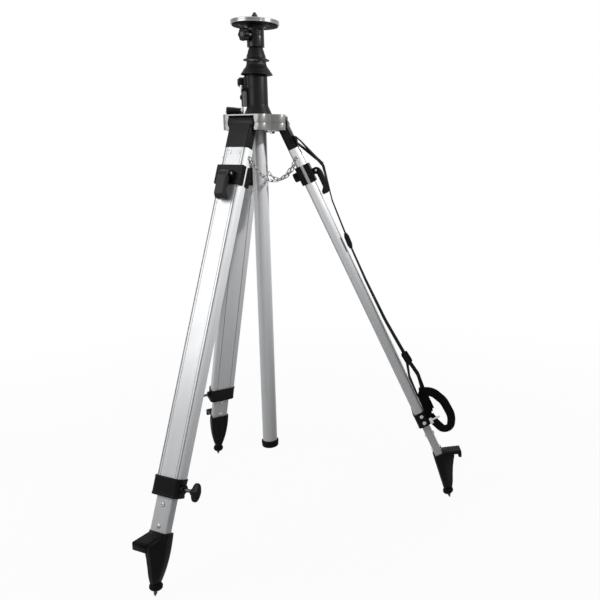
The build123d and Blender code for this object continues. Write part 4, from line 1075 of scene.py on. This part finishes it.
@dataclass
class Leg:
    """One telescopic leg: casting, extrusions, quick clamp, band clamp and foot.

    In its own frame X points out of the leg's face, Y across it and Z up along it from the hinge axis. A
    station is a distance down the leg.
    """

    number: int
    splay: float
    extension: float
    hinge_radius: float = 59.0
    hinge_drop: float = 248.0
    width: float = 66.0
    face: float = 70.5
    depth: float = 27.0
    top: float = 68.0
    end: float = 886.0
    bore: Triple = (21.0, 47.0, 4.3)
    inner_width: float = 46.4
    inner_depth: float = 20.4
    inner_wall: float = 1.8
    inner_top: float = 106.6
    inner_sink: float = 12.0
    stop_screws: Pair = (898.6, 944.6)
    stop_size: Pair = (5.0, 4.0)
    jaw: float = 114.0
    jaw_face: float = 18.5
    adjuster_drop: float = 22.0
    adjuster_gap: float = 0.3
    pivot_x: float = 27.5
    pivot: float = 139.0
    lever_half: float = 13.0
    band: float = 846.0
    band_end: float = 888.0
    band_hole: Triple = (27.1, 66.1, 6.05)
    band_screws: Pair = (857.0, 877.0)
    band_side: Pair = (2.0, -37.4)
    band_screw_size: Pair = (5.0, 2.8)
    top_screw: float = 80.0
    top_screw_sides: Pair = (-13.0, 13.0)
    top_screw_size: Pair = (4.5, 2.6)
    knob: float = 63.5
    staple: float = 90.0
    staple_radius: float = 5.0
    staple_wire: float = 1.2
    staple_lean: float = 45.0
    foot_station: float = 957.6
    foot_bend: float = 10.0
    foot_length: float = 112.0
    foot_half: float = 27.0
    foot_narrowing: float = 18.0
    foot_power: float = 2.4
    heel: float = 14.5
    heel_narrowing: float = 5.5
    rib_sink: float = 0.1
    rib_inset: float = 1.0
    rib_radius: float = 1.7
    step_tilt: float = 20.0
    ball_drop: float = 9.0
    ball_radius: float = 15.0
    ball_half: float = 10.0
    ball_groove: Pair = (0.7, 1.2)
    spike_neck: float = 25.0
    spike_length: float = 32.0

    @property
    def place(self) -> Place:
        """Where the leg's frame stands in the part."""
        turn = spin(2, 120.0 * (self.number - 1))
        return Place((self.hinge_radius * OUT - self.hinge_drop * UP) @ turn, spin(1, -self.splay) @ turn)

    @property
    def drawn_out(self) -> Place:
        """Where the frame of the sliding inner leg stands."""
        return Place(self.place((0, 0, -self.extension)), self.place.axes)

    @property
    def staple_bar(self) -> Array:
        """Direction from end to end of a staple."""
        lean = math.radians(self.staple_lean)
        return np.array([-math.sin(lean), 0.0, math.cos(lean)])

    def add(self, name: str, surfaces: Sequence[Surface], finish: Finish, body: str,
            replaces: Sequence[str] = (), bevel: float = 0.0) -> None:
        """Make one piece of this leg from surfaces in the leg's frame.

        Args:
            name: name of the piece, without the leg's number.
            surfaces: its surfaces.
            finish: its finish.
            body: name of the body it rides on, without the leg's number.
            replaces: nodes that it stands for, without the leg's number.
            bevel: width of rounded edges, in millimetres.
        """
        place = self.drawn_out if body == "inner" else self.place
        nodes = [f"{node}_{self.number}" for node in replaces]
        parts = moved(surfaces, place)
        piece(f"{name}_{self.number}", parts, finish, f"{body}_{self.number}", nodes, bevel)

    def profile(self) -> Array:
        """Outline of the outer leg: big round shoulders at the front, small ones behind, and drawn lines.

        Returns:
            Points round the outline: one half from the front's middle to the back's, then its mirror image.
        """
        x, y = self.depth / 2, self.face / 2
        front, sweep, back = 8.5, 12.5, 5.0
        line, groove, rear_groove = 0.9, 2.8, 1.7
        seam = y - front
        shoulder = (x - sweep, seam) + circle(np.linspace(math.asin(0.26), math.pi / 2, 12)) * (sweep, front)
        heel = (back - x, y - back) + back * circle(np.linspace(math.pi / 2, math.pi, 7))
        half = np.concatenate([
            [(x, 0), (x, 20.2), (x - line, 20.6), (x - line, 21.6), (x, 22.0), (x, seam - 1.2),
             (x - groove, seam - 0.8), (x - groove, seam + 1.7)], shoulder, heel,
            [(-x, 20.9), (rear_groove - x, 20.4), (rear_groove - x, 19.0), (-x, 18.5), (-x, 0)],
        ])
        return np.concatenate([half, half[::-1] * (1, -1)])

    def extrusions(self) -> None:
        """Make the hollow outer and inner extrusions and the heads of the stop screws.

        The outer leg's bore is resampled to as many points as its outline and started at the same side.
        """
        outline = self.profile()
        bore, first_angle = rectangle(*self.bore), 0.8
        first = int(np.argmin(np.abs(np.arctan2(bore[:, 1], bore[:, 0]) - first_angle)))
        bore = np.roll(bore, -first, axis=0)
        places = np.linspace(0, len(bore), len(outline), endpoint=False)
        ring = np.concatenate([bore, bore[:1]])
        bore = np.column_stack([np.interp(places, np.arange(len(ring)), column) for column in ring.T])
        bore = np.roll(bore, len(outline) // 8, axis=0)
        length = sleeve(outline, bore, -self.top, -self.end)
        self.add("leg_extrusion", [length], ANODISED, "leg", ["outer_leg"])
        thick, wide, wall = self.inner_depth, self.inner_width, 2 * self.inner_wall
        outside, inside = rectangle(thick, wide, 4.0), rectangle(thick - wall, wide - wall, 2.2)
        length = sleeve(outside, inside, -self.inner_top, -self.foot_station - self.inner_sink)
        self.add("inner_extrusion", [length], DULL_ANODISED, "inner", ["inner_leg"])
        heads = []
        for side in (-1, 1):
            seats = [(side * thick / 2, 0, -station) for station in self.stop_screws]
            heads += screws(self.stop_size, seats, side * OUT)
        self.add("stop_screw_heads", heads, ZINC, "inner", ["stop_screws"])

    def clamp(self) -> None:
        """Make the quick clamp's lever and adjuster, and finish its jaws."""
        dress([f"quick_jaws_{self.number}"], CAST_BLACK, 1.4)
        lever = [
            (-7.5, 7.5, 7.0), (4.5, 7.5, 6.0), (10.5, 1.5, 8.0), (13.5, -8, 10.0), (13.5, -54, 9.0),
            (6, -64, 4.0), (-9.5, -64, 3.0), (-9.5, -55, 4.0), (-1.5, -46, 8.0), (-1.5, -10, 3.0),
            (-7.5, -7.5, 5.0),
        ]
        side = rounded(np.array(lever) + (self.pivot_x, -self.pivot, 0), 6)
        bar = upright(side, (-self.lever_half, self.lever_half))
        self.add("lever", [bar], GREY_PLASTIC, "lever", ["quick_lever"], 2.4)
        rim, flutes, flute_depth = 12.0, 14, 0.9
        rows = [
            (0, -10, 0), (4, -10, 0), (4, 0, 0), (9.5, 0, 1), (rim, 2.5, 1.2), (rim, 12, 1.6), (9.5, 14, 1),
            (0, 14, 0),
        ]

        def knurled(angle: Array, radius: Array, _: Array) -> Array:
            """Radius with grip flutes round the rim."""
            return radius - flute_depth * swell(angle, flutes) * (radius > rim - 0.5)

        seat = (-self.jaw_face - self.adjuster_gap, 0, -self.jaw - self.adjuster_drop)
        knob = spun(rows, 168, wave=knurled).at(Place.facing(seat, -OUT))
        self.add("adjuster", [knob], BLACK_PLASTIC, "adjuster", ["clamp_adjuster"])

    def bottom_clamp(self) -> None:
        """Make the band with its lower lip and boss, and the wing screw."""
        outline = rectangle(*self.band_hole, 8)
        normal = unit(np.roll(outline, -1, axis=0) - np.roll(outline, 1, axis=0))[:, ::-1] * (1, -1)
        high, low, rim, web = -self.band, -self.band_end, 4.5, 3.9
        section = rounded([
            (0, high, 0.2), (rim, high, 1.2), (rim, high - 4, 0.5), (web, high - 5, 0.5), (web, low + 5, 0.5),
            (rim, low + 4, 0.5), (rim, low, 1.2), (0, low, 0.2),
        ], 4)
        band = loft([level(outline + normal * reach, height) for reach, height in section], False, True)
        hole, lip = rectangle(*self.bore, 8), (low + 2, low + 0.2)
        lip = loft([level(outline, z) for z in lip] + [level(hole, z) for z in lip[::-1]], False, True)
        axis = Place.facing((0, 0, -(self.band + self.band_end) / 2), ACROSS)
        boss = spun([(0, 36, 0), (10, 36, 0), (10, 43.5, 1.2), (4.2, 43.5, 0.3), (4.2, 36, 0)], 48).at(axis)
        self.add("band", [band, lip, boss], CAST_BLACK, "leg", ["band_clamp"])
        knob = self.knob
        self.add("wing_screw_shank", [rod(4, 24.4, knob, (0, 0), 24, 1).at(axis)], DARK_STEEL, "thumbscrew")
        hub = [(0, knob, 0), (8, knob, 1.0), (9, knob + 4, 2.0), (9, knob + 12, 2.0), (0, knob + 12, 0)]
        surfaces = [self.wing().at(axis), spun(hub, 40).at(axis)]
        self.add("wing_screw", surfaces, BLACK_PLASTIC, "thumbscrew", ["thumbscrew"])

    def wing(self) -> Surface:
        """Wing of the band's screw: a fat superellipsoid, thinned towards its two tips.

        Returns:
            The surface, with its Z axis along the screw and X along the wing.
        """
        rise = np.linspace(-math.pi / 2, math.pi / 2, 33)[:, None]
        turn = turns(72)[None, :]
        reach, half = 20.5, 11.0
        across_power, round_power = 0.75, 0.8
        tip_half, middle_extra, middle_reach = 5.0, 3.2, 9.0

        def power(value: Array, exponent: float) -> Array:
            """Signed power."""
            return np.sign(value) * np.abs(value) ** exponent

        x = reach * power(np.cos(rise), across_power) * power(np.cos(turn), round_power)
        y = power(np.cos(rise), across_power) * power(np.sin(turn), round_power)
        y = y * (tip_half + middle_extra * np.exp(-((x / middle_reach) ** 2)))
        z = half * power(np.sin(rise), across_power) + 0.0 * turn
        return Surface.grid(np.stack([x, y, self.knob + half + z], -1))

    def fasteners(self) -> None:
        """Make the lever's pin, the screw heads and the chain staples on their plates."""
        pin = rod(3, -17.3, 17.3, (0.8, 0.8), 32, 3)
        surfaces = [pin.at(Place.facing((self.pivot_x, 0, -self.pivot), ACROSS))]
        seats = [(self.depth / 2, y, -self.top_screw) for y in self.top_screw_sides]
        surfaces += screws(self.top_screw_size, seats, OUT)
        seats = [(*self.band_side, -station) for station in self.band_screws]
        surfaces += screws(self.band_screw_size, seats, -ACROSS)
        turn = np.linspace(0.0, math.pi, 17)[:, None]
        for side in (-1.0, 1.0):
            out = side * ACROSS
            seat = out * self.width / 2 - self.staple * UP
            path = self.staple_radius * (np.cos(turn) * self.staple_bar + np.sin(turn) * out) + seat
            surfaces.append(tube(path, self.staple_wire, np.cross(self.staple_bar, out)))
            surfaces.append(block((-8, -1, -17), (8, 1.1, 17), 0.9).at(Place(seat, np.eye(3))))
        self.add("leg_screws", surfaces, ZINC, "leg", ["leg_fasteners"])

    def foot_sections(self, top: Array, down: Array, along: Array) -> list[Array]:
        """Sections of the foot: broad at its back and drawn out to a narrow toe, both narrowing downwards.

        Args:
            top: middle of the foot's top.
            down: direction down the foot.
            along: direction out of its toe.

        Returns:
            Outlines from the top to the ankle.
        """
        sections = []
        toe_depths, toes = [0, 14, 27, 40, 55, 75, 96, 112], [15, 40, 43, 37, 31, 25, 20, 14.5]
        for part in np.linspace(0.0, 1.0, 29):
            heel = self.heel - self.heel_narrowing * part
            toe = np.interp(part * self.foot_length, toe_depths, toes)
            half = self.foot_half - self.foot_narrowing * part ** self.foot_power
            edge = min(half - 0.5, 7.0)
            rows = np.array([(-heel, half, 5.0), (heel * 0.6, half, 10.0), (toe, edge, 5.0)])
            outline = rounded(np.concatenate([rows * (1, -1, 1), rows[::-1]]))
            tilt = unit(along * part + OUT * (1 - part))
            centre = top + down * self.foot_length * part
            sections.append(centre + outline[:, :1] * tilt + outline[:, 1:] * ACROSS)
        return sections

    def foot(self) -> None:
        """Make the foot casting with its ribs and step, the rubber ball and the spike."""
        bend, length = math.radians(self.foot_bend), self.foot_length
        down = np.array([-math.sin(bend), 0.0, -math.cos(bend)])
        along = np.array([math.cos(bend), 0.0, -math.sin(bend)])
        top = -self.foot_station * UP
        self.add("foot_casting", [loft(self.foot_sections(top, down, along))], CAST_BLACK, "inner", ["foot"])
        gone = np.linspace(0.04, 0.94, 19)[:, None]
        spine = top + down * length * gone + OUT * (-self.heel - self.rib_sink + self.heel_narrowing * gone)
        spread = ACROSS * (self.foot_half - self.rib_inset - self.foot_narrowing * gone ** self.foot_power)
        ribs = [tube(spine + share * spread, self.rib_radius, ACROSS) for share in (-0.66, 0.0, 0.66)]
        self.add("foot_ribs", ribs, CAST_BLACK, "inner")
        slope = Place(top, spin(1, self.step_tilt))
        tread = [block((0, -20, -6), (64, 20, 3), 2.5), block((55, -20, -16), (64, 20, 3), 2.5)]
        tread += [block((x, -17.5, 1.5), (x + 3.2, 17.5, 4), 1.0) for x in np.arange(22.0, 58.0, 6.4)]
        self.add("foot_step", moved(tread, slope), CAST_BLACK, "inner")
        foot = Place.facing(top, down, along)
        swing, middle, (depth, wide) = np.linspace(0, math.pi, 25), length + self.ball_drop, self.ball_groove
        reach = self.ball_radius * np.sin(swing) ** 0.8
        ball = np.column_stack([reach, middle - self.ball_half * np.cos(swing)])
        ball[:, 0] -= depth * np.exp(-(((ball[:, 1] - middle) / wide) ** 2))
        self.add("foot_ball", [turned(ball, 56).at(foot)], RUBBER, "inner", ["foot_tip"])
        neck, tip = length + self.spike_neck, length + self.spike_length
        spike = [(0, length, 0), (4, length, 0), (4, neck, 0.5), (0.6, tip, 0.4), (0, tip, 0)]
        self.add("foot_spike", [spun(spike, 40).at(foot)], DARK_STEEL, "inner")

    def build(self) -> None:
        """Make or finish every piece of the leg."""
        dress([f"leg_top_{self.number}"], CHARCOAL, 1.6)
        self.extrusions()
        self.clamp()
        self.bottom_clamp()
        self.fasteners()
        self.foot()


@dataclass
class Chains:
    """Slack spread chains, one between each pair of neighbouring legs."""

    legs: list[Leg]
    links: int = 15
    link_length: float = 12.5
    link_width: float = 4.4
    wire: float = 2.4
    pitch: float = 12.0
    margin: float = 4.45

    def link(self) -> Surface:
        """Oval link of round wire about the origin, long axis along X.

        Returns:
            The surface.
        """
        wide = self.link_width + self.wire
        path = rectangle(self.link_length + self.wire, wide, wide / 2, 9)
        return tube(level(path, 0.0), self.wire / 2, UP, closed=True)

    def hang(self, start: Array, end: Array) -> tuple[Array, Array]:
        """Places of the links on a parabola as long as the chain.

        The sag is read off a table of the curve's length at each sag.

        Args:
            start: first end.
            end: second end.

        Returns:
            Middle of each link and direction of the chain there.
        """
        parts, tries = 400, 1201
        share = np.linspace(0.0, 1.0, parts + 1)
        length = 2 * self.margin + (self.links - 1) * self.pitch
        sags = np.linspace(0.0, length, tries)
        dip = -4 * share * (1 - share)
        steps = np.diff(dip)[None, :] * sags[:, None] + (end - start)[2] / parts
        flat = np.linalg.norm((end - start)[:2]) / parts
        sag = np.interp(length, np.hypot(steps, flat).sum(axis=1), sags)
        curve = start + share[:, None] * (end - start) + (dip * sag)[:, None] * UP
        wanted = self.margin + self.pitch * np.arange(self.links)
        slope = np.gradient(curve, axis=0)
        return along_line(curve, wanted, curve), unit(along_line(curve, wanted, slope))

    def build(self) -> None:
        """Make each chain in two halves, every second link turned by a quarter."""
        flat, half = self.link(), self.links // 2
        share = (np.arange(self.links) / (self.links - 1))[:, None]
        for leg in self.legs:
            following = self.legs[leg.number % len(self.legs)]
            reach = leg.width / 2 + leg.staple_radius
            start, end = leg.place((0, reach, -leg.staple)), following.place((0, -reach, -leg.staple))
            spots, along = self.hang(start, end)
            bar = (1 - share) * (leg.staple_bar @ leg.place.axes)
            bar = bar + share * (following.staple_bar @ following.place.axes)
            square = unit(bar - along * (bar * along).sum(axis=1, keepdims=True))
            square[1::2] = np.cross(along, square)[1::2]
            axes = np.stack([along, np.cross(square, along), square], axis=1)
            links = [flat.at(Place(spot, turn)) for spot, turn in zip(spots, axes)]
            sides = (("a", leg, links[: half + 1], start), ("b", following, links[half + 1:], end))
            for side, holder, group, hook in sides:
                stands_for = ["spread_chains"] if (leg.number, side) == (1, "a") else ()
                thing = piece(f"chain_{leg.number}{side}", group, CHAIN_STEEL, "", stands_for)
                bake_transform(thing)


@dataclass
class Strap:
    """Leg-binding strap on the first leg, with its slider, buckle, clip and carrying loop.

    Its lines are given as x, station and rounding of each corner, in the leg's frame.
    """

    leg: Leg
    y: float = -26.5
    width: float = 16.0
    thickness: float = 2.0
    buckles: Pair = (337.0, 690.0)
    bulks: Pair = (6.5, 9.5)
    clip: float = 879.0
    run: Rows = (
        (14.5, 38, 0), (14.5, 58, 14), (45, 118, 16), (50, 136, 16), (33, 226, 80), (26, 340, 200),
        (23.5, 450, 400), (25, 570, 400), (34, 690, 200), (42.5, 746, 40), (36, 800, 0),
    )
    upper: Rows = ((18, 42, 0), (25, 58, 14), (42, 110, 30), (50.5, 132, 0))
    lower: Rows = ((33, 690, 0), (18.5, 742, 40), (17, 800, 0))
    loop: Rows = (
        (24, 792, 0), (57, 806, 60), (75, 846, 60), (78, 896, 60), (62, 924, 60), (41, 921, 60),
        (29, 890, 60), (24, 866, 0),
    )

    def even(self, rows: Rows, count: int) -> Array:
        """Rounded line through corners, as evenly spaced points.

        Args:
            rows: x, station and rounding of each corner.
            count: number of points.

        Returns:
            (x, station) of each point.
        """
        line = rounded(rows, 14, False)
        step = np.linalg.norm(np.diff(line, axis=0), axis=1)
        line = line[np.concatenate([[True], step > 1e-6])]
        return along_line(line, np.linspace(0.0, step.sum(), count), line)

    def ribbon(self, path: Array, twist: Array, grow: float = 1.0) -> Surface:
        """Flat section carried along a path, turned on the way.

        Args:
            path: (x, station) of each point.
            twist: turn of the section at each point, in degrees.
            grow: how many times as wide as the strap it is.

        Returns:
            The surface, in the leg's frame.
        """
        line = np.column_stack([path[:, 0], np.full(len(path), self.y), -path[:, 1]])
        along = unit(np.gradient(line, axis=0))
        across = np.broadcast_to(ACROSS, along.shape)
        normal = np.cross(along, across)
        turn = np.radians(twist)[:, None]
        wide = np.cos(turn) * across + np.sin(turn) * normal
        thick = np.cos(turn) * normal - np.sin(turn) * across
        section = rectangle(self.width, self.thickness, 0.9, 4)
        points = grow * section[None, :, :1] * wide[:, None] + section[None, :, 1:] * thick[:, None]
        return Surface.grid(line[:, None] + points, caps=True)

    def webbing(self, path: Array) -> list[Surface]:
        """Long strap, the second strands at both of its ends, its loop and the folded slack by the clip.

        Args:
            path: middle line of the long strap.

        Returns:
            The surfaces, in the leg's frame.
        """
        stations = [40, 60, 110, 150, 205, 270, 390, 510, 630, 700, 760, 800]
        twists = [0, 14, 24, 18, 4, 7, 12, 21, 26, 30, 34, 55]
        strands = [self.ribbon(path, np.interp(path[:, 1], stations, twists))]
        for rows, count, twist, grow in (
            (self.upper, 60, (4, 24), 1.0), (self.lower, 90, (28, 10), 1.0), (self.loop, 200, (76, 76), 1.5),
        ):
            strands.append(self.ribbon(self.even(rows, count), np.linspace(*twist, count), grow))
        for layer in range(5):
            x = 15.5 + 5.6 * layer
            low, high = (x, self.y - 9 + layer, 6 * layer - 876), (x + 5.7, self.y + 9, 3 * layer - 797)
            strands.append(block(low, high, 2.6))
        return strands

    def frame(self, length: float) -> list[Surface]:
        """Buckle frame of two side rails and three bars that the strap runs through.

        Args:
            length: length along the strap.

        Returns:
            Its surfaces, in a frame with X out of the strap's face and Z along it.
        """
        half, end = self.width / 2, length / 2
        middles = [side * (half + 1.6) for side in (-1, 1)]
        rails = [block((-4.5, y - 1.6, -end), (4.5, y + 1.6, end), 1.4) for y in middles]
        bars = [
            block((x, -half - 1, z - 2.4), (x + 2.4, half + 1, z + 2.4), 1.0)
            for x, z in ((1.6, end - 3), (-3.8, 0.0), (1.6, 3 - end))
        ]
        return rails + bars

    def build(self) -> None:
        """Make the webbing and its hardware."""
        place, path, spots = self.leg.place, self.even(self.run, 340), []
        for station in self.buckles:
            row = int(np.argmin(np.abs(path[:, 1] - station)))
            up = path[row - 4] - path[row + 4]
            spots.append(Place.facing((path[row, 0], self.y, -path[row, 1]), (up[0], 0, -up[1]), OUT))
        frames = [part.at(spot) for spot in spots for part in self.frame(40.0)]
        wads = [
            block((-bulk, -10.0, -16.0), (bulk, 10.0, 16.0), 4.5).at(spot)
            for bulk, spot in zip(self.bulks, spots)
        ]
        clip = Place(np.array([21.5, self.y, -self.clip]), np.eye(3))
        clasp = [block((17.0, self.y - 12.5, -0.5 - self.clip), (48.0, self.y - 9.0, 5.0 - self.clip), 1.6)]
        clasp += moved(self.frame(18.0), clip)
        for name, surfaces, finish, nodes in (
            ("strap_webbing", self.webbing(path), WEBBING, ["carry_strap"]),
            ("strap_slider_and_buckle", frames, BLACK_PLASTIC, ["strap_buckles"]),
            ("strap_folds", wads, WEBBING, ()),
            ("strap_clip", clasp, ZINC, ()),
        ):
            piece(name, moved(surfaces, place), finish, "leg_1", nodes)
        dress(["strap_anchor"], BLACK_PLASTIC, 0.8)


@dataclass
class Studio:
    """Plain white studio: pale floor, soft lamps and the camera of the photograph.

    The camera's place is in millimetres, its angles in degrees, and its focal length and principal point in
    pixels of the picture. Floor and lamps are in metres, and the lamps' power is in watts.
    """

    floor_height: float = -1287.4 * METRE
    floor_size: float = 9.0
    floor_base: float = 0.4
    floor_glow: Pair = (0.96, 1.0)
    floor_fade: Pair = (1.35, 2.6)
    fill: float = 0.16
    fill_colour: Triple = (0.98, 0.99, 1.0)
    spot_radius: float = 0.04
    camera: Triple = (206.0, -1819.8, -320.7)
    yaw: float = 5.811
    pitch: float = 9.884
    roll: float = 0.039
    focal: float = 693.2
    principal: Pair = (412.6, 274.0)
    picture: float = 600.0
    sensor: float = 36.0

    def floor(self) -> None:
        """Make the floor: paper that keeps the near shadow and runs out into the white surround."""
        size, z = self.floor_size, self.floor_height
        mesh = bpy.data.meshes.new("floor")
        corners = [(-size, -size, z), (size, -size, z), (size, size, z), (-size, size, z)]
        mesh.from_pydata(corners, [], [(0, 1, 2, 3)])
        material = bpy.data.materials.new("floor_paper")
        shade = Shade(material)
        values = {"Base Color": (*grey(self.floor_base), 1.0), "Roughness": 0.9, "Specular IOR Level": 0.0}
        paper = shade.node("BsdfPrincipled", values)
        glow = shade.node("Emission", {"Strength": 1.0})
        place = shade.node("TexCoord", {}).outputs["Object"]
        distance = shade.node("VectorMath", {0: place}, operation="LENGTH").outputs["Value"]
        share = shade.maths("MULTIPLY", shade.seen(), shade.span(distance, self.floor_fade, self.floor_glow))
        shade.node("OutputMaterial", {"Surface": shade.choose(share, paper, glow)})
        material.cycles.emission_sampling = "NONE"
        mesh.materials.append(material)
        self.stand("floor", mesh)

    def stand(self, name: str, data: bpy.types.ID, matrix: Array | None = None) -> bpy.types.Object:
        """Put something in the scene.

        Args:
            name: name of the object.
            data: its mesh, lamp or camera.
            matrix: its three axes and its place as columns, or nothing to leave it at the origin.

        Returns:
            The object.
        """
        thing = bpy.data.objects.new(name, data)
        bpy.context.collection.objects.link(thing)
        if matrix is not None:
            thing.matrix_world = Matrix(matrix.tolist() + [[0, 0, 0, 1]])
        return thing

    def lamp(self, name: str, place: Numbers, aim: Numbers, power: float, size: Numbers = (),
             beam: float = 0.0) -> None:
        """Add a soft lamp, or a soft-edged spot lamp.

        Args:
            name: name of the lamp.
            place: where it is.
            aim: point that it faces.
            power: its power.
            size: height and width of a soft lamp.
            beam: angle of a spot lamp's whole beam, in degrees.
        """
        data = bpy.data.lights.new(name, "AREA" if size else "SPOT")
        data.energy = power
        if size:
            data.shape = "RECTANGLE"
            data.size, data.size_y = size
        else:
            data.spot_size = math.radians(beam)
            data.spot_blend = 1.0
            data.shadow_soft_size = self.spot_radius
        facing = Place.facing(place, np.asarray(place, float) - np.asarray(aim, float), (0.3, 0.2, 0.9))
        self.stand(name, data, np.column_stack([facing.axes.T, facing.origin]))

    def light(self) -> None:
        """Set the even surround and the lamps."""
        world = bpy.data.worlds.new("surround")
        bpy.context.scene.world = world
        world.cycles.sampling_method = "NONE"
        shade = Shade(world)
        fill = shade.node("Background", {"Strength": self.fill, "Color": (*self.fill_colour, 1.0)})
        white = shade.node("Background", {"Strength": 1.0, "Color": (1.0, 1.0, 1.0, 1.0)})
        shade.node("OutputWorld", {"Surface": shade.choose(shade.seen(), fill, white)})
        self.lamp("key", (-1.15, -0.75, 0.05), (-0.1, -0.2, -0.35), 19.0, (1.0, 0.9))
        self.lamp("side", (1.3, -0.5, 0.4), (-0.05, -0.12, -0.1), 165.0, beam=62.0)
        self.lamp("front", (1.15, -1.65, 0.2), (0.0, 0.0, -0.4), 4.0, (1.0, 0.15))
        self.lamp("top", (0.0, 0.3, 1.2), (0, 0, -0.2), 8.0, (0.8, 0.8))

    def shoot(self) -> None:
        """Place the camera as the photograph's was."""
        yaw, pitch, roll = (math.radians(value) for value in (self.yaw, self.pitch, self.roll))
        ahead = np.array([math.sin(yaw) * math.cos(pitch), math.cos(yaw) * math.cos(pitch), -math.sin(pitch)])
        level_right = np.array([math.cos(yaw), -math.sin(yaw), 0.0])
        level_up = np.cross(level_right, ahead)
        right = level_right * math.cos(roll) + level_up * math.sin(roll)
        up = level_up * math.cos(roll) - level_right * math.sin(roll)
        data = bpy.data.cameras.new("camera")
        data.sensor_width = self.sensor
        data.lens = self.focal / self.picture * self.sensor
        data.shift_x = (self.picture / 2 - self.principal[0]) / self.picture
        data.shift_y = (self.principal[1] - self.picture / 2) / self.picture
        data.clip_end = 50.0
        matrix = np.column_stack([right, up, -ahead, np.array(self.camera) * METRE])
        bpy.context.scene.camera = self.stand("camera", data, matrix)

    def build(self) -> None:
        """Make the floor, lamps and camera."""
        bpy.context.scene.view_settings.view_transform = "Standard"
        self.floor()
        self.light()
        self.shoot()


def main() -> None:
    """Build every sub-assembly in order, then the studio."""
    logging.basicConfig(level=logging.INFO, format="%(name)s %(message)s")
    legs = [Leg(1, 24.2, 28.65), Leg(2, 20.4, 0.0), Leg(3, 21.4, 6.91)]
    upper = (Head(), Neck(), Column(), LockRing(), Housing(), Crank(), Spider())
    for part in (*upper, *legs, Chains(legs), Strap(legs[0]), Studio()):
        part.build()


if __name__ == "__main__":
    main()
